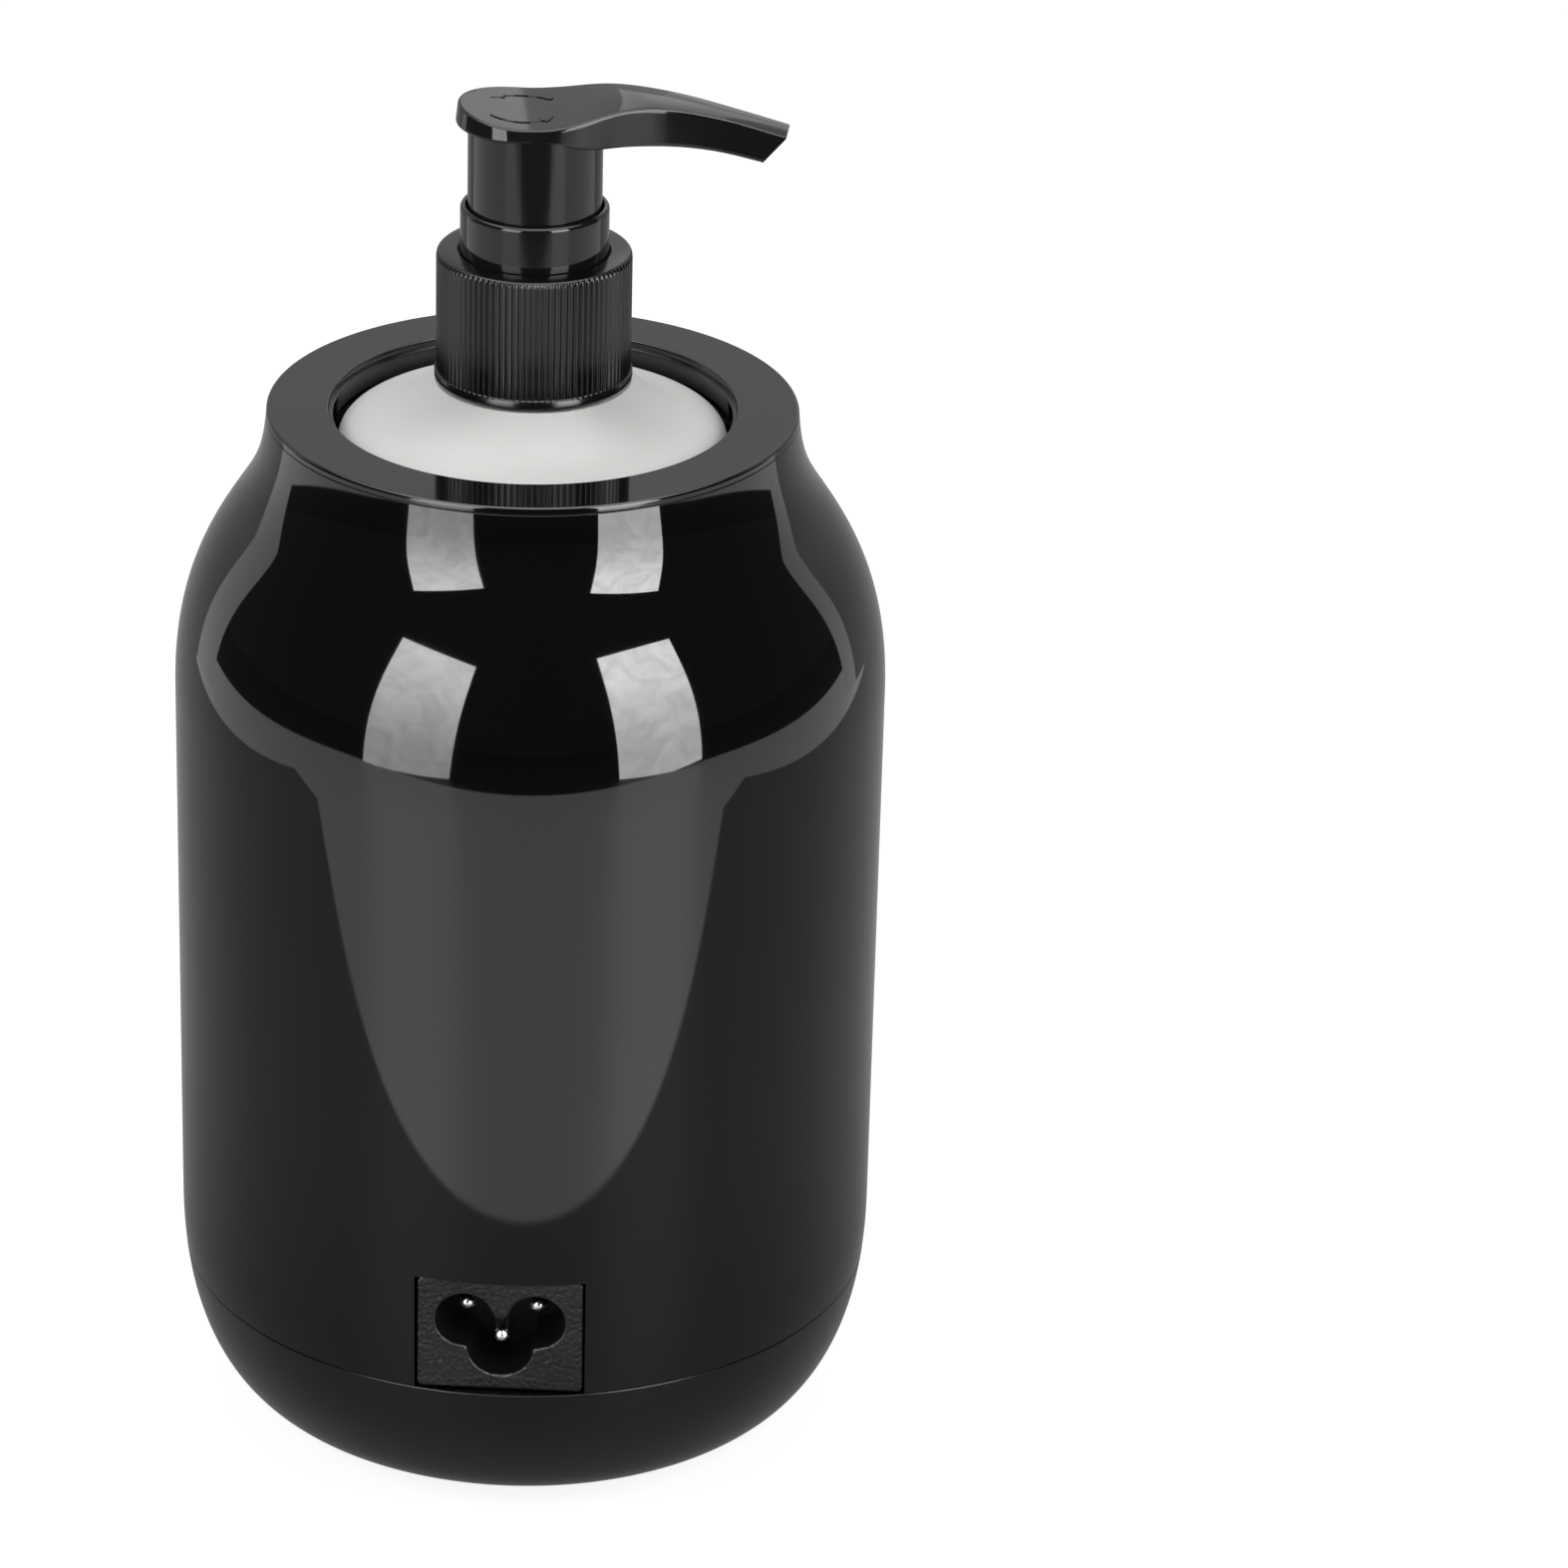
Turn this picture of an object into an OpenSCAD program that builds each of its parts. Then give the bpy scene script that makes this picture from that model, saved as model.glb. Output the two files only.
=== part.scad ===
// Massage oil warmer: a heated well in a round housing, with a pump bottle that lifts out.
// Millimetres, +Z up, origin on the table under the middle of the body.
// The power inlet faces -Y, the control panel +Y, and the spout points near +X.

/* [Body] */
// Outside diameter of the housing
body_d = 100; // [90:0.5:112]
// Height from the underside of the base to the face of the top ring
shell_h = 150.2; // [146:0.2:165]
// Wall thickness of the housing and the base
wall = 2.4; // [1.8:0.1:3]
// How much the side wall narrows towards its foot, per side
wall_draft = 0.2; // [0:0.05:0.5]
// How far the flat underside stands in from the side wall
base_in = 11.7; // [10:0.1:13]
// Height of the curve from the underside to the side wall
base_curve_h = 28.7; // [26:0.1:32]
// Height of the seam between base and housing above the underside
seam_h = 20.7; // [19.6:0.1:22]
// Width of the seam line
seam_gap = 0.25; // [0.1:0.05:0.4]
// Height of the shoulder curve under the top ring
shoulder_h = 37.6; // [32:0.2:44]
// Height of the overlapping rim inside the seam
rim_h = 3; // [2:0.1:4]
// How far the rubber feet stand below the base
foot_h = 1.2; // [0.8:0.1:2]
// Diameter of a rubber foot
foot_d = 11; // [8:0.5:13]

/* [Top ring and well] */
// How far the top ring stands in from the side wall
shoulder_in = 12.9; // [11:0.1:14]
// Height of the top ring
ring_h = 3.7; // [3:0.1:5]
// Width of the ring between its outer edge and the opening
ring_w = 8.8; // [8.2:0.1:9.6]
// Radius of the ring's outer edge
ring_edge = 0.9; // [0.4:0.1:1.5]
// Height of the well's floor above the underside
well_floor_h = 19; // [18:0.1:22]
// Wall of the heating cup
cup_wall = 1.2; // [0.8:0.1:1.6]
// Height of the heater band's lower edge above the underside
heater_up = 44; // [42:0.5:48]
// Height of the heater band
heater_h = 62; // [40:1:64]
// Thickness of the heater band
heater_t = 1.4; // [1:0.1:1.8]
// Thickness of the insulation sleeve
lagging_t = 4; // [2:0.1:4.5]

/* [Power inlet] */
// Width of the inlet's flat face
inlet_w = 23.3; // [22:0.1:25]
// Height of the inlet's flat face
inlet_h = 17.4; // [16.6:0.1:19]
// Distance between the two line pins
pin_pitch = 10; // [9.6:0.1:10.4]
// Drop of the earth pin below the line pins
earth_drop = 4; // [3.5:0.1:4.5]
// Diameter of a pin
pin_d = 2.4; // [2:0.1:2.6]
// Diameter of the two line lobes of the recess
line_lobe_d = 8.2; // [7.8:0.1:8.6]
// Diameter of the earth lobe of the recess
earth_lobe_d = 9.2; // [8.6:0.1:9.6]
// Depth of the recess
recess_depth = 9.5; // [8:0.1:10]

/* [Control panel] */
// Width of the control panel
panel_w = 31; // [30:0.5:34]
// Height of the control panel
panel_h = 44; // [42:0.5:48]
// Height of the panel's middle above the underside
panel_up = 68.8; // [62:0.2:76]
// Width of the display lens
lens_w = 20; // [16:0.5:22]
// Height of the display lens
lens_h = 11; // [9:0.5:13]
// Diameter of a button
button_d = 7.6; // [6.8:0.1:7.8]
// Distance between buttons
button_pitch = 10; // [9.8:0.1:10.4]
// Travel of a button
button_travel = 0.6; // [0.4:0.1:1]

/* [Bottle] */
// Gap between the bottle and the ring's opening
bottle_gap = 2.3; // [1.3:0.1:4.3]
// Height of the bottle up to the foot of its neck
bottle_h = 135.4; // [130:0.2:142]
// Height of the bottle's shoulder
bottle_shoulder = 11; // [8:0.5:14]
// Wall of the bottle
bottle_wall = 1.2; // [0.8:0.1:1.6]
// Outside diameter of the neck
neck_d = 23; // [22.8:0.1:23.4]
// Bore of the neck
neck_bore = 20.8; // [20.6:0.1:21.2]

/* [Pump] */
// Diameter of the collar's foot band
collar_d = 27.4; // [27.2:0.1:29]
// Height of the collar
collar_h = 18.3; // [16:0.1:20]
// Number of grip ribs on the collar
rib_count = 96; // [60:4:120]
// Depth of a grip rib
rib_depth = 0.3; // [0.2:0.05:0.35]
// Diameter of the lock ring above the collar
lock_d = 20.5; // [20.2:0.1:20.6]
// Height of the lock ring above the collar
lock_h = 6.65; // [5:0.05:8]
// Diameter of the pump head's skirt
skirt_d = 18.5; // [17:0.1:18.6]
// Stroke of the pump
stroke = 10; // [7:0.1:11]
// Length of the spring with the pump up
spring_len = 32; // [28:0.2:36]
// Number of turns of the spring
spring_turns = 8; // [6:1:9]

/* [Pump head] */
// Radius of the round end of the head
plate_r = 9.25; // [8.8:0.05:10]
// Thickness of the head's plate
plate_t = 1.75; // [1.5:0.05:2.2]
// Reach of the spout from the pump's axis
spout_reach = 34.1; // [31:0.1:38]
// Half width of the spout
spout_half_w = 3.2; // [2.8:0.05:3.6]
// Rise of the spout's hump above the plate
hump_rise = 1.67; // [1:0.01:2.4]
// Drop of the spout's tip below the plate's face
tip_drop = 3.4; // [2.6:0.1:4.2]
// Diameter of the spout's bore
nozzle_d = 2.6; // [2:0.1:2.8]

/* [Hidden] */
$fn = 96;

// Clearances: a close fit, a running fit, a free gap between curved faces, and a cutting overlap
fit = 0.05;
running = 0.08;
free = 0.25;
over = 1;

// Body
body_r = body_d / 2;
ring_r = body_r - shoulder_in;
mouth_r = ring_r - ring_w;
flat_r = body_r - base_in;
base_z = foot_h;
seam_z = base_z + seam_h;
ring_top_z = base_z + shell_h;
ring_seat_z = ring_top_z - ring_h;
shoulder_z = ring_seat_z - shoulder_h;
// Handles of the two body curves
base_pull = 1.7;
base_rise = 5;
shoulder_full = 0.63;
shoulder_neck = 0.26;
curve_steps = 20;

// Well: the cup hangs by its flange on a ledge inside the neck, and the ring's spigot holds it down
cup_step = 0.2;
cup_r = mouth_r + cup_step;
cup_out_r = cup_r + cup_wall;
neck_in_r = ring_r - wall;
flange_r = neck_in_r - free;
flange_t = 1.2;
spigot_h = 1.3;
spigot_t = 1.6;
flange_top_z = ring_seat_z - spigot_h;
ledge_top_z = flange_top_z - flange_t;
ledge_t = 1.6;
ledge_w = 2.4;
ring_step_w = 0.6;
ring_step_h = 0.4;
well_floor_z = base_z + well_floor_h;
cup_under_z = well_floor_z - cup_wall;
heater_z = base_z + heater_up;
heater_in_r = cup_out_r + fit;
lagging_in_r = heater_in_r + heater_t + fit;
heater_slit = 5;
sensor_d = 3.4;
sensor_h = 9;
fuse_d = 4;
fuse_h = 11;
fuse_turn = 200;
sensor_turn = 320;
probe_drop = 14;

// Fastenings of the base
screw_count = 4;
screw_in = 10;
screw_ring_r = body_r - screw_in;
screw_d = 3;
screw_head_d = 5.6;
screw_head_h = 2;
screw_bite = 9;
boss_d = 8;
boss_drop = 6;
boss_top_z = seam_z - boss_drop;
post_d = 6.8;
post_h = 30;
post_web = 2;
counterbore_h = 6.4;
counterbore_z = base_z + counterbore_h;
foot_in = 9.3;
foot_ring_r = flat_r - foot_in;
foot_sink = 0.8;

// Control board in the base
board_w = 52;
board_l = 40;
board_t = 1.6;
board_lift = 4.4;
board_z = base_z + wall + board_lift;
board_top_z = board_z + board_t;
standoff_d = 5;
small_screw_d = 2;
small_head_d = 3.6;
small_head_h = 1.4;
small_bite = 3.4;
board_edge = 4;
board_hole_x = board_w / 2 - board_edge;
board_hole_y = board_l / 2 - board_edge;
module_in = 6;
part_gap = 4;
module_x = -board_w / 2 + module_in;
module_size = [24, 16, 7];
relay_size = [10, 13, 7];
relay_x = module_x + module_size[0] + part_gap;
terminal_size = [15, 7, 6];

// Inlet
inlet_gap = 0.3;
inlet_z = seam_z + seam_gap;
inlet_set = 0.5;
inlet_foot_r = body_r - wall_draft - inlet_set;
inlet_face_y = sqrt(pow(inlet_foot_r, 2) - pow(inlet_w / 2, 2));
inlet_plate_t = 2.2;
inlet_back_t = 2;
inlet_body_inset = 1;
inlet_ear = 2;
inlet_ear_t = 1.6;
inlet_ear_set = 0.7;
inlet_ear_r = body_r - wall_draft - wall - inlet_ear_set;
inlet_ear_y = sqrt(pow(inlet_ear_r, 2) - pow(inlet_w / 2 + inlet_ear, 2));
line_pin_down = 6.6;
line_pin_z = inlet_z + inlet_h - line_pin_down;
line_pin_tip = 4.4;
earth_pin_tip = 2.5;
pin_tail = 3;
pin_tail_y = inlet_face_y - recess_depth - inlet_back_t - pin_tail;
shelf_t = 4;
shelf_w = 20;
shelf_inset = 1;
wire_d = 1.6;
wire_bend = 2;
wire_lift = 2.4;
wire_z = board_top_z + wire_lift;
terminal_y = board_l / 2 - board_edge;
lead_gap = 1;
lead_out = 0.3;
lead_turn = 16;
lead_end_r = relay_x + relay_size[0] + lead_gap;

// Panel
panel_corner = 5;
panel_z = base_z + panel_up;
panel_gap = 0.15;
panel_lip = 3;
panel_lip_min = 0.9;
panel_in_r = body_r - wall_draft - wall - fit;
panel_lip_gap = 0.15;
panel_back_y = sqrt(pow(panel_in_r, 2) - pow(panel_w / 2 + panel_lip, 2)) - panel_lip_min;
lens_up = 8;
lens_corner = 1.6;
lens_t = 1.6;
lens_ledge = 1;
button_down = 10.4;
button_flange = 0.7;
button_flange_t = 0.8;
button_back_y = panel_back_y - fit - button_flange_t;
switch_size = [5, 2.2, 5];
switch_plunger_d = 3;
switch_plunger_h = 0.5;
switch_gap = 0.1;
display_y = button_back_y - button_travel - switch_gap - switch_plunger_h - switch_size[1];
pcb_t = 1.6;
pillar_d = 4.4;
pillar_in_x = 3.5;
pillar_in_z = 2.8;
pillar_x = panel_w / 2 - pillar_in_x;
pillar_z = panel_h / 2 - pillar_in_z;
display_in_x = 1;
display_in_z = 0.5;
display_w = panel_w - 2 * display_in_x;
display_h = panel_h - 2 * display_in_z;
display_block = [16, 5.6, 7.4];
ribbon_w = 10;
ribbon_t = 0.8;
header_h = 2;
header_l = 4;

// Bottle and pump, stacked upwards from the well's floor
bottle_r = mouth_r - bottle_gap;
bottle_z = well_floor_z + fit;
neck_foot_z = bottle_z + bottle_h;
neck_r = neck_d / 2;
neck_in = neck_bore / 2;
bottle_edge = 3;
neck_foot_w = 2.2;
shoulder_top_r = neck_r + neck_foot_w;
collar_r = collar_d / 2;
collar_lift = 0.5;
collar_z = neck_foot_z + collar_lift;
collar_top_z = collar_z + collar_h;
collar_web = 1.2;
collar_band = 1.15;
thread_room = 0.75;
collar_in_r = neck_r + thread_room;
band_proud = 0.2;
rib_r = collar_r - band_proud;
lock_r = lock_d / 2;
lock_edge = 1;
lock_flange_r = collar_in_r - free;
lock_flange_t = 1.2;
lock_flange_z = collar_top_z - collar_web - fit - lock_flange_t;
gasket_t = 0.8;
neck_top_z = lock_flange_z - gasket_t;
skirt_r = skirt_d / 2;
lock_in_r = skirt_r + free;
lock_tube_gap = 0.2;
lock_tube_r = neck_in - lock_tube_gap;
lock_top_z = collar_top_z + lock_h;
lock_floor_t = 1.2;
skirt_hold = 2;
skirt_z = lock_top_z - skirt_hold;
skirt_wall = 1.05;
skirt_rest = 0.6;
lock_floor_z = skirt_z - stroke - skirt_rest;
lock_under_z = lock_floor_z - lock_floor_t;

// Head: heights are taken from the face of its plate
spout_root_drop = 3.2;
press_rest = 0.45;
plate_z = lock_top_z + stroke + press_rest + spout_root_drop;
plate_back = 2.4;
rear_flat = 0.75;
rear_len = plate_r - rear_flat;
hump_x = 13;
spout_straight_x = 22;
tip_narrow = 0.3;
tip_half_w = spout_half_w - tip_narrow;
tip_cut = 4.1;
tip_depth = 3.25;
socket_r = 4.4;
socket_len = 14;
block_drop = 5.2;
block_r = skirt_r - skirt_wall / 2;
spout_turn = 4;
plan_pull = 4.4;
plan_flare = 0.3;
hump_pull = 7;
tip_pull = 7;
tip_lift = 2.3;
under_pull = 8;
under_rise = 2.45;
root_pull = 12;
root_dip = 0.4;
rear_sweep = 162;
rear_steps = 18;
rear_rise = 1.2;
rear_pull = 3.9;
rear_fall = 0.66;
rear_ease = 4;
under_ease = 3;
duct_rise = 3;
duct_step = 0.2;
duct_overlap = 0.05;
hump_x_cover = 2.67;
stem_d = 6.4;
stem_bore = 3;
stem_r = stem_d / 2;
stem_sink = 0.2;
stem_top_z = plate_z - block_drop + stem_sink;

// Pump works
barrel_r = 6.5;
barrel_wall = 1;
barrel_in_r = barrel_r - barrel_wall;
barrel_top_z = lock_under_z - fit;
piston_h = 7;
piston_rest = 0.4;
piston_top_z = barrel_top_z - piston_rest;
piston_z = piston_top_z - piston_h;
stem_foot_r = 4.6;
stem_foot_t = 1.2;
stem_foot_z = piston_z - fit - stem_foot_t;
spring_top_z = stem_foot_z - fit;
spring_wire = 0.9;
spring_mean_r = 4.4;
spring_z = spring_top_z - spring_len;
barrel_floor_z = spring_z - fit;
seat_low_r = 1.4;
seat_h = 2;
seat_top_r = seat_low_r + seat_h;
ball_r = 2.2;
ball_z = barrel_floor_z - seat_h + (ball_r + fit) * sqrt(2) - seat_low_r;
nipple_len = 8;
nipple_r = 4;
nipple_web = 1;
tube_d = 5.2;
tube_r = tube_d / 2;
tube_wall = 0.8;
tube_lift = 3.6;
tube_z = bottle_z + bottle_wall + tube_lift;
tube_top_z = barrel_floor_z - seat_h - nipple_web;

// Curves
function bezier(a, b, c, d, t) =
    a * pow(1 - t, 3) + 3 * b * t * pow(1 - t, 2) + 3 * c * t * t * (1 - t) + d * pow(t, 3);
function curve(a, b, c, d, steps = curve_steps) = [for (i = [0 : steps]) bezier(a, b, c, d, i / steps)];
function arc(centre, r, from, to, steps) =
    [for (i = [0 : steps]) let (a = from + (to - from) * i / steps) centre + r * [cos(a), sin(a)]];

// The body's outline from the underside to the ring's seat, moved inwards by inset
function shell_outline(inset) = let (
    foot_r = body_r - wall_draft - inset,
    wall_r = body_r - inset,
    top_r = ring_r - inset,
    low_z = base_z + inset)
    concat(
        curve([flat_r, low_z], [flat_r + base_pull, low_z],
            [foot_r, low_z + base_rise], [foot_r, base_z + base_curve_h]),
        curve([wall_r, shoulder_z], [wall_r, shoulder_z + shoulder_full * shoulder_h],
            [top_r, ring_seat_z - shoulder_neck * shoulder_h], [top_r, ring_seat_z]));

module shell_form(inset, top = 0) {
    rotate_extrude()
        polygon(concat(
            [[0, base_z + inset]],
            shell_outline(inset),
            [[ring_r - inset, ring_seat_z + top], [0, ring_seat_z + top]]));
}

module slab(z0, z1) {
    translate([-body_d, -body_d, z0])
        cube([2 * body_d, 2 * body_d, z1 - z0]);
}

module ring_of(count, r, first = 0) {
    for (i = [0 : count - 1])
        rotate(first + 360 * i / count)
            translate([r, 0, 0])
                children();
}

module tube(r_out, r_in, z0, z1) {
    translate([0, 0, z0])
        difference() {
            cylinder(r = r_out, h = z1 - z0);
            translate([0, 0, -over])
                cylinder(r = r_in, h = z1 - z0 + 2 * over);
        }
}

module rounded_rect(w, h, r) {
    square([w - 2 * r, h], center = true);
    square([w, h - 2 * r], center = true);
    for (x = [-1, 1], y = [-1, 1])
        translate([x * (w / 2 - r), y * (h / 2 - r)])
            circle(r);
}

// A rounded block that points out of the panel side, from y0 outwards
module panel_block(w, h, r, z, y0) {
    translate([0, body_d, z])
        rotate([90, 0, 0])
            linear_extrude(body_d - y0)
                rounded_rect(w, h, r);
}

// A round rod along Y between two places
module rod_y(r, y0, y1) {
    translate([0, y1, 0])
        rotate([90, 0, 0])
            cylinder(r = r, h = y1 - y0);
}

module screw(d, head_d, head_h, bite) {
    translate([0, 0, -head_h])
        cylinder(d = head_d, h = head_h);
    translate([0, 0, -head_h / 2])
        cylinder(d = d, h = bite + head_h / 2);
}

// A wire in the XZ plane that drops at radius r0 and turns in towards radius r1
module drop_wire(r0, z0, r1, z1) {
    translate([r0, 0, z1 + wire_bend])
        cylinder(d = wire_d, h = z0 - z1 - wire_bend);
    translate([r0 - wire_bend, 0, z1 + wire_bend])
        rotate([90, 0, 0])
            rotate(-90)
                wire_elbow();
    translate([r1, 0, z1])
        rotate([0, 90, 0])
            cylinder(d = wire_d, h = r0 - wire_bend - r1);
}

module wire_elbow() {
    rotate_extrude(angle = 90)
        translate([wire_bend, 0])
            circle(d = wire_d);
}

// Housing and base
module housing() {
    color("#101012")
        difference() {
            union() {
                difference() {
                    intersection() {
                        shell_form(0);
                        slab(seam_z + seam_gap, ring_seat_z);
                    }
                    shell_form(wall, over);
                }
                tube(neck_in_r + wall / 2, neck_in_r - ledge_w, ledge_top_z - ledge_t, ledge_top_z);
                intersection() {
                    shell_form(wall / 2);
                    screw_posts();
                }
            }
            ring_of(screw_count, screw_ring_r, 45)
                translate([0, 0, boss_top_z])
                    cylinder(d = screw_d + 2 * fit, h = screw_bite + over);
            inlet_window();
            panel_block(panel_w, panel_h, panel_corner, panel_z, panel_back_y - over);
        }
}

module screw_posts() {
    ring_of(screw_count, screw_ring_r, 45) {
        translate([0, 0, boss_top_z + fit])
            cylinder(d = post_d, h = post_h);
        translate([0, -post_web / 2, seam_z + rim_h + over])
            cube([body_r - screw_ring_r, post_web, boss_top_z + fit + post_h - seam_z - rim_h - over]);
    }
}

module inlet_window() {
    translate([-inlet_w / 2 - inlet_gap, -body_r - over, seam_z])
        cube([inlet_w + 2 * inlet_gap, body_r - inlet_ear_y + over, seam_gap + inlet_h + inlet_gap]);
}

module base_pan() {
    color("#151517")
        difference() {
            union() {
                difference() {
                    intersection() {
                        shell_form(0);
                        slab(base_z, seam_z);
                    }
                    shell_form(wall);
                }
                base_rim();
                intersection() {
                    shell_form(wall / 2);
                    union() {
                        ring_of(screw_count, screw_ring_r, 45)
                            translate([0, 0, base_z])
                                cylinder(d = boss_d, h = boss_top_z - base_z);
                        board_places()
                            translate([0, 0, base_z])
                                cylinder(d = standoff_d, h = board_z - base_z);
                        inlet_shelf();
                    }
                }
            }
            ring_of(screw_count, screw_ring_r, 45) {
                translate([0, 0, base_z - over])
                    cylinder(d = screw_head_d + 2 * free, h = counterbore_z - base_z + over);
                translate([0, 0, base_z])
                    cylinder(d = screw_d + 2 * free, h = boss_top_z);
            }
            board_places()
                translate([0, 0, board_z - small_bite - fit])
                    cylinder(d = small_screw_d + 2 * fit, h = small_bite + over);
            ring_of(4, foot_ring_r)
                translate([0, 0, base_z - over])
                    cylinder(d = foot_d + 2 * fit, h = foot_sink + over);
        }
}

// The rim that the housing slips over, open where the inlet stands
module base_rim() {
    rim_t = 1.4;
    tie_h = 2.5;
    rim_gap = fit + 0.1;
    difference() {
        union() {
            intersection() {
                difference() {
                    shell_form(wall + rim_gap);
                    shell_form(wall + rim_gap + rim_t);
                }
                slab(seam_z - tie_h, seam_z + rim_h);
            }
            intersection() {
                difference() {
                    shell_form(wall / 2);
                    shell_form(wall + fit + 0.1 + rim_t);
                }
                slab(seam_z - tie_h, seam_z);
            }
        }
        translate([-inlet_w / 2 - inlet_ear - over, -body_r, seam_z])
            cube([inlet_w + 2 * inlet_ear + 2 * over, body_r, rim_h + over]);
    }
}

module inlet_shelf() {
    translate([-shelf_w / 2, -inlet_face_y + shelf_inset, inlet_z - fit - shelf_t])
        cube([shelf_w, inlet_face_y - pin_tail_y - 2 * shelf_inset, shelf_t]);
}

module board_places() {
    for (x = [-1, 1], y = [-1, 1])
        translate([x * board_hole_x, y * board_hole_y, 0])
            children();
}

module rubber_feet() {
    color("#2a2a2c")
        ring_of(4, foot_ring_r)
            cylinder(d = foot_d, h = foot_h + foot_sink);
}

module base_screws() {
    color("silver")
        ring_of(screw_count, screw_ring_r, 45)
            translate([0, 0, counterbore_z])
                screw(screw_d, screw_head_d, screw_head_h, boss_top_z - counterbore_z + screw_bite);
}

// Top ring, well and heater
module top_ring() {
    color("#0e0e10") {
        rotate_extrude()
            polygon(concat(
                [[mouth_r, ring_seat_z],
                    [mouth_r, ring_top_z - ring_step_h],
                    [mouth_r + ring_step_w, ring_top_z - ring_step_h],
                    [mouth_r + ring_step_w, ring_top_z]],
                arc([ring_r - ring_edge, ring_top_z - ring_edge], ring_edge, 90, 0, 8),
                [[ring_r, ring_seat_z],
                    [flange_r, ring_seat_z],
                    [flange_r, flange_top_z],
                    [flange_r - spigot_t, flange_top_z],
                    [flange_r - spigot_t, ring_seat_z]]));
    }
}

module heating_cup() {
    color("#3a3b3e")
        rotate_extrude()
            polygon([[0, cup_under_z],
                [cup_out_r, cup_under_z],
                [cup_out_r, ledge_top_z],
                [flange_r, ledge_top_z],
                [flange_r, flange_top_z],
                [cup_r, flange_top_z],
                [cup_r, well_floor_z],
                [0, well_floor_z]]);
}

module heater_band() {
    color("#b5472f")
        difference() {
            tube(heater_in_r + heater_t, heater_in_r, heater_z, heater_z + heater_h);
            translate([-body_r, -heater_slit / 2, heater_z - over])
                cube([body_r, heater_slit, heater_h + 2 * over]);
        }
}

module insulation_sleeve() {
    color("#d8d2c2")
        tube(lagging_in_r + lagging_t, lagging_in_r, heater_z, heater_z + heater_h);
}

// A probe that stands upright against the cup below the heater
module cup_probe(d, h, turn) {
    rotate(turn)
        translate([cup_out_r + fit + d / 2, 0, heater_z - probe_drop])
            cylinder(d = d, h = h);
}

module temperature_sensor() {
    color("#20242a")
        cup_probe(sensor_d, sensor_h, sensor_turn);
}

module thermal_fuse() {
    color("#c9ccd0")
        cup_probe(fuse_d, fuse_h, fuse_turn);
}

// Control board in the base
module control_board() {
    color("#1f6b3a")
        difference() {
            union() {
                translate([-board_w / 2, -board_l / 2, board_z])
                    cube([board_w, board_l, board_t]);
                translate([-ribbon_w / 2, board_l / 2 - header_l, board_top_z - fit])
                    cube([ribbon_w, header_l, header_h + fit]);
            }
            board_places()
                translate([0, 0, board_z - over])
                    cylinder(d = small_screw_d + 2 * free, h = board_t + 2 * over);
        }
}

module power_module() {
    color("#222222")
        translate([module_x, -module_size[1] / 2, board_top_z])
            cube(module_size);
}

module relay() {
    color("#2456a8")
        translate([relay_x, -relay_size[1] / 2, board_top_z])
            cube(relay_size);
}

module terminal_block() {
    color("#2f8f4e")
        translate([-terminal_size[0] / 2, -terminal_y, board_top_z])
            cube(terminal_size);
}

module board_screws() {
    color("silver")
        board_places()
            translate([0, 0, board_top_z + fit])
                mirror([0, 0, 1])
                    screw(small_screw_d, small_head_d, small_head_h, board_t + small_bite);
}

// Power inlet
module pin_places() {
    for (side = [-1, 1])
        translate([side * pin_pitch / 2, 0, line_pin_z])
            children(0);
    translate([0, 0, line_pin_z - earth_drop])
        children(1);
}

module inlet_body() {
    body_w = inlet_w - 2 * inlet_body_inset;
    body_h = inlet_h - inlet_body_inset;
    depth = recess_depth + inlet_back_t;
    color("#1b1b1d")
        difference() {
            union() {
                translate([-inlet_w / 2, -inlet_face_y, inlet_z])
                    cube([inlet_w, inlet_plate_t, inlet_h]);
                translate([-body_w / 2, -inlet_face_y, inlet_z])
                    cube([body_w, depth, body_h]);
                translate([-inlet_w / 2 - inlet_ear, -inlet_ear_y, inlet_z])
                    cube([inlet_w + 2 * inlet_ear, inlet_ear_t, body_h]);
            }
            pin_places() {
                rod_y(line_lobe_d / 2, -inlet_face_y - over, -inlet_face_y + recess_depth);
                rod_y(earth_lobe_d / 2, -inlet_face_y - over, -inlet_face_y + recess_depth);
            }
            pin_places() {
                rod_y(pin_d / 2 + fit, -inlet_face_y, -inlet_face_y + depth + over);
                rod_y(pin_d / 2 + fit, -inlet_face_y, -inlet_face_y + depth + over);
            }
        }
}

module inlet_pins() {
    color("silver")
        pin_places() {
            inlet_pin(line_pin_tip);
            inlet_pin(earth_pin_tip);
        }
}

module inlet_pin(tip) {
    tip_y = -inlet_face_y + tip + pin_d / 2;
    rod_y(pin_d / 2, tip_y, -pin_tail_y);
    translate([0, tip_y, 0])
        sphere(d = pin_d);
}

// Leads from the pins' tails down and in to the terminal block
module mains_leads() {
    tail_r = pin_tail_y - wire_bend;
    color("#8a5a2b")
        for (lead = [[-1, 0], [0, earth_drop], [1, 0]])
            translate([lead[0] * pin_pitch / 2, 0, 0])
                rotate(-90) {
                    top_z = line_pin_z - lead[1];
                    translate([pin_tail_y, 0, top_z - wire_bend])
                        mirror([1, 0, 0])
                            rotate([90, 0, 0])
                                wire_elbow();
                    drop_wire(tail_r, top_z - wire_bend, terminal_y, wire_z);
                }
}

module heater_leads() {
    lead_r = heater_in_r + heater_t / 2 + lead_out;
    color("#c23b2e")
        for (turn = [-lead_turn, lead_turn])
            rotate(turn)
                drop_wire(lead_r, heater_z, lead_end_r, wire_z);
}

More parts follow.
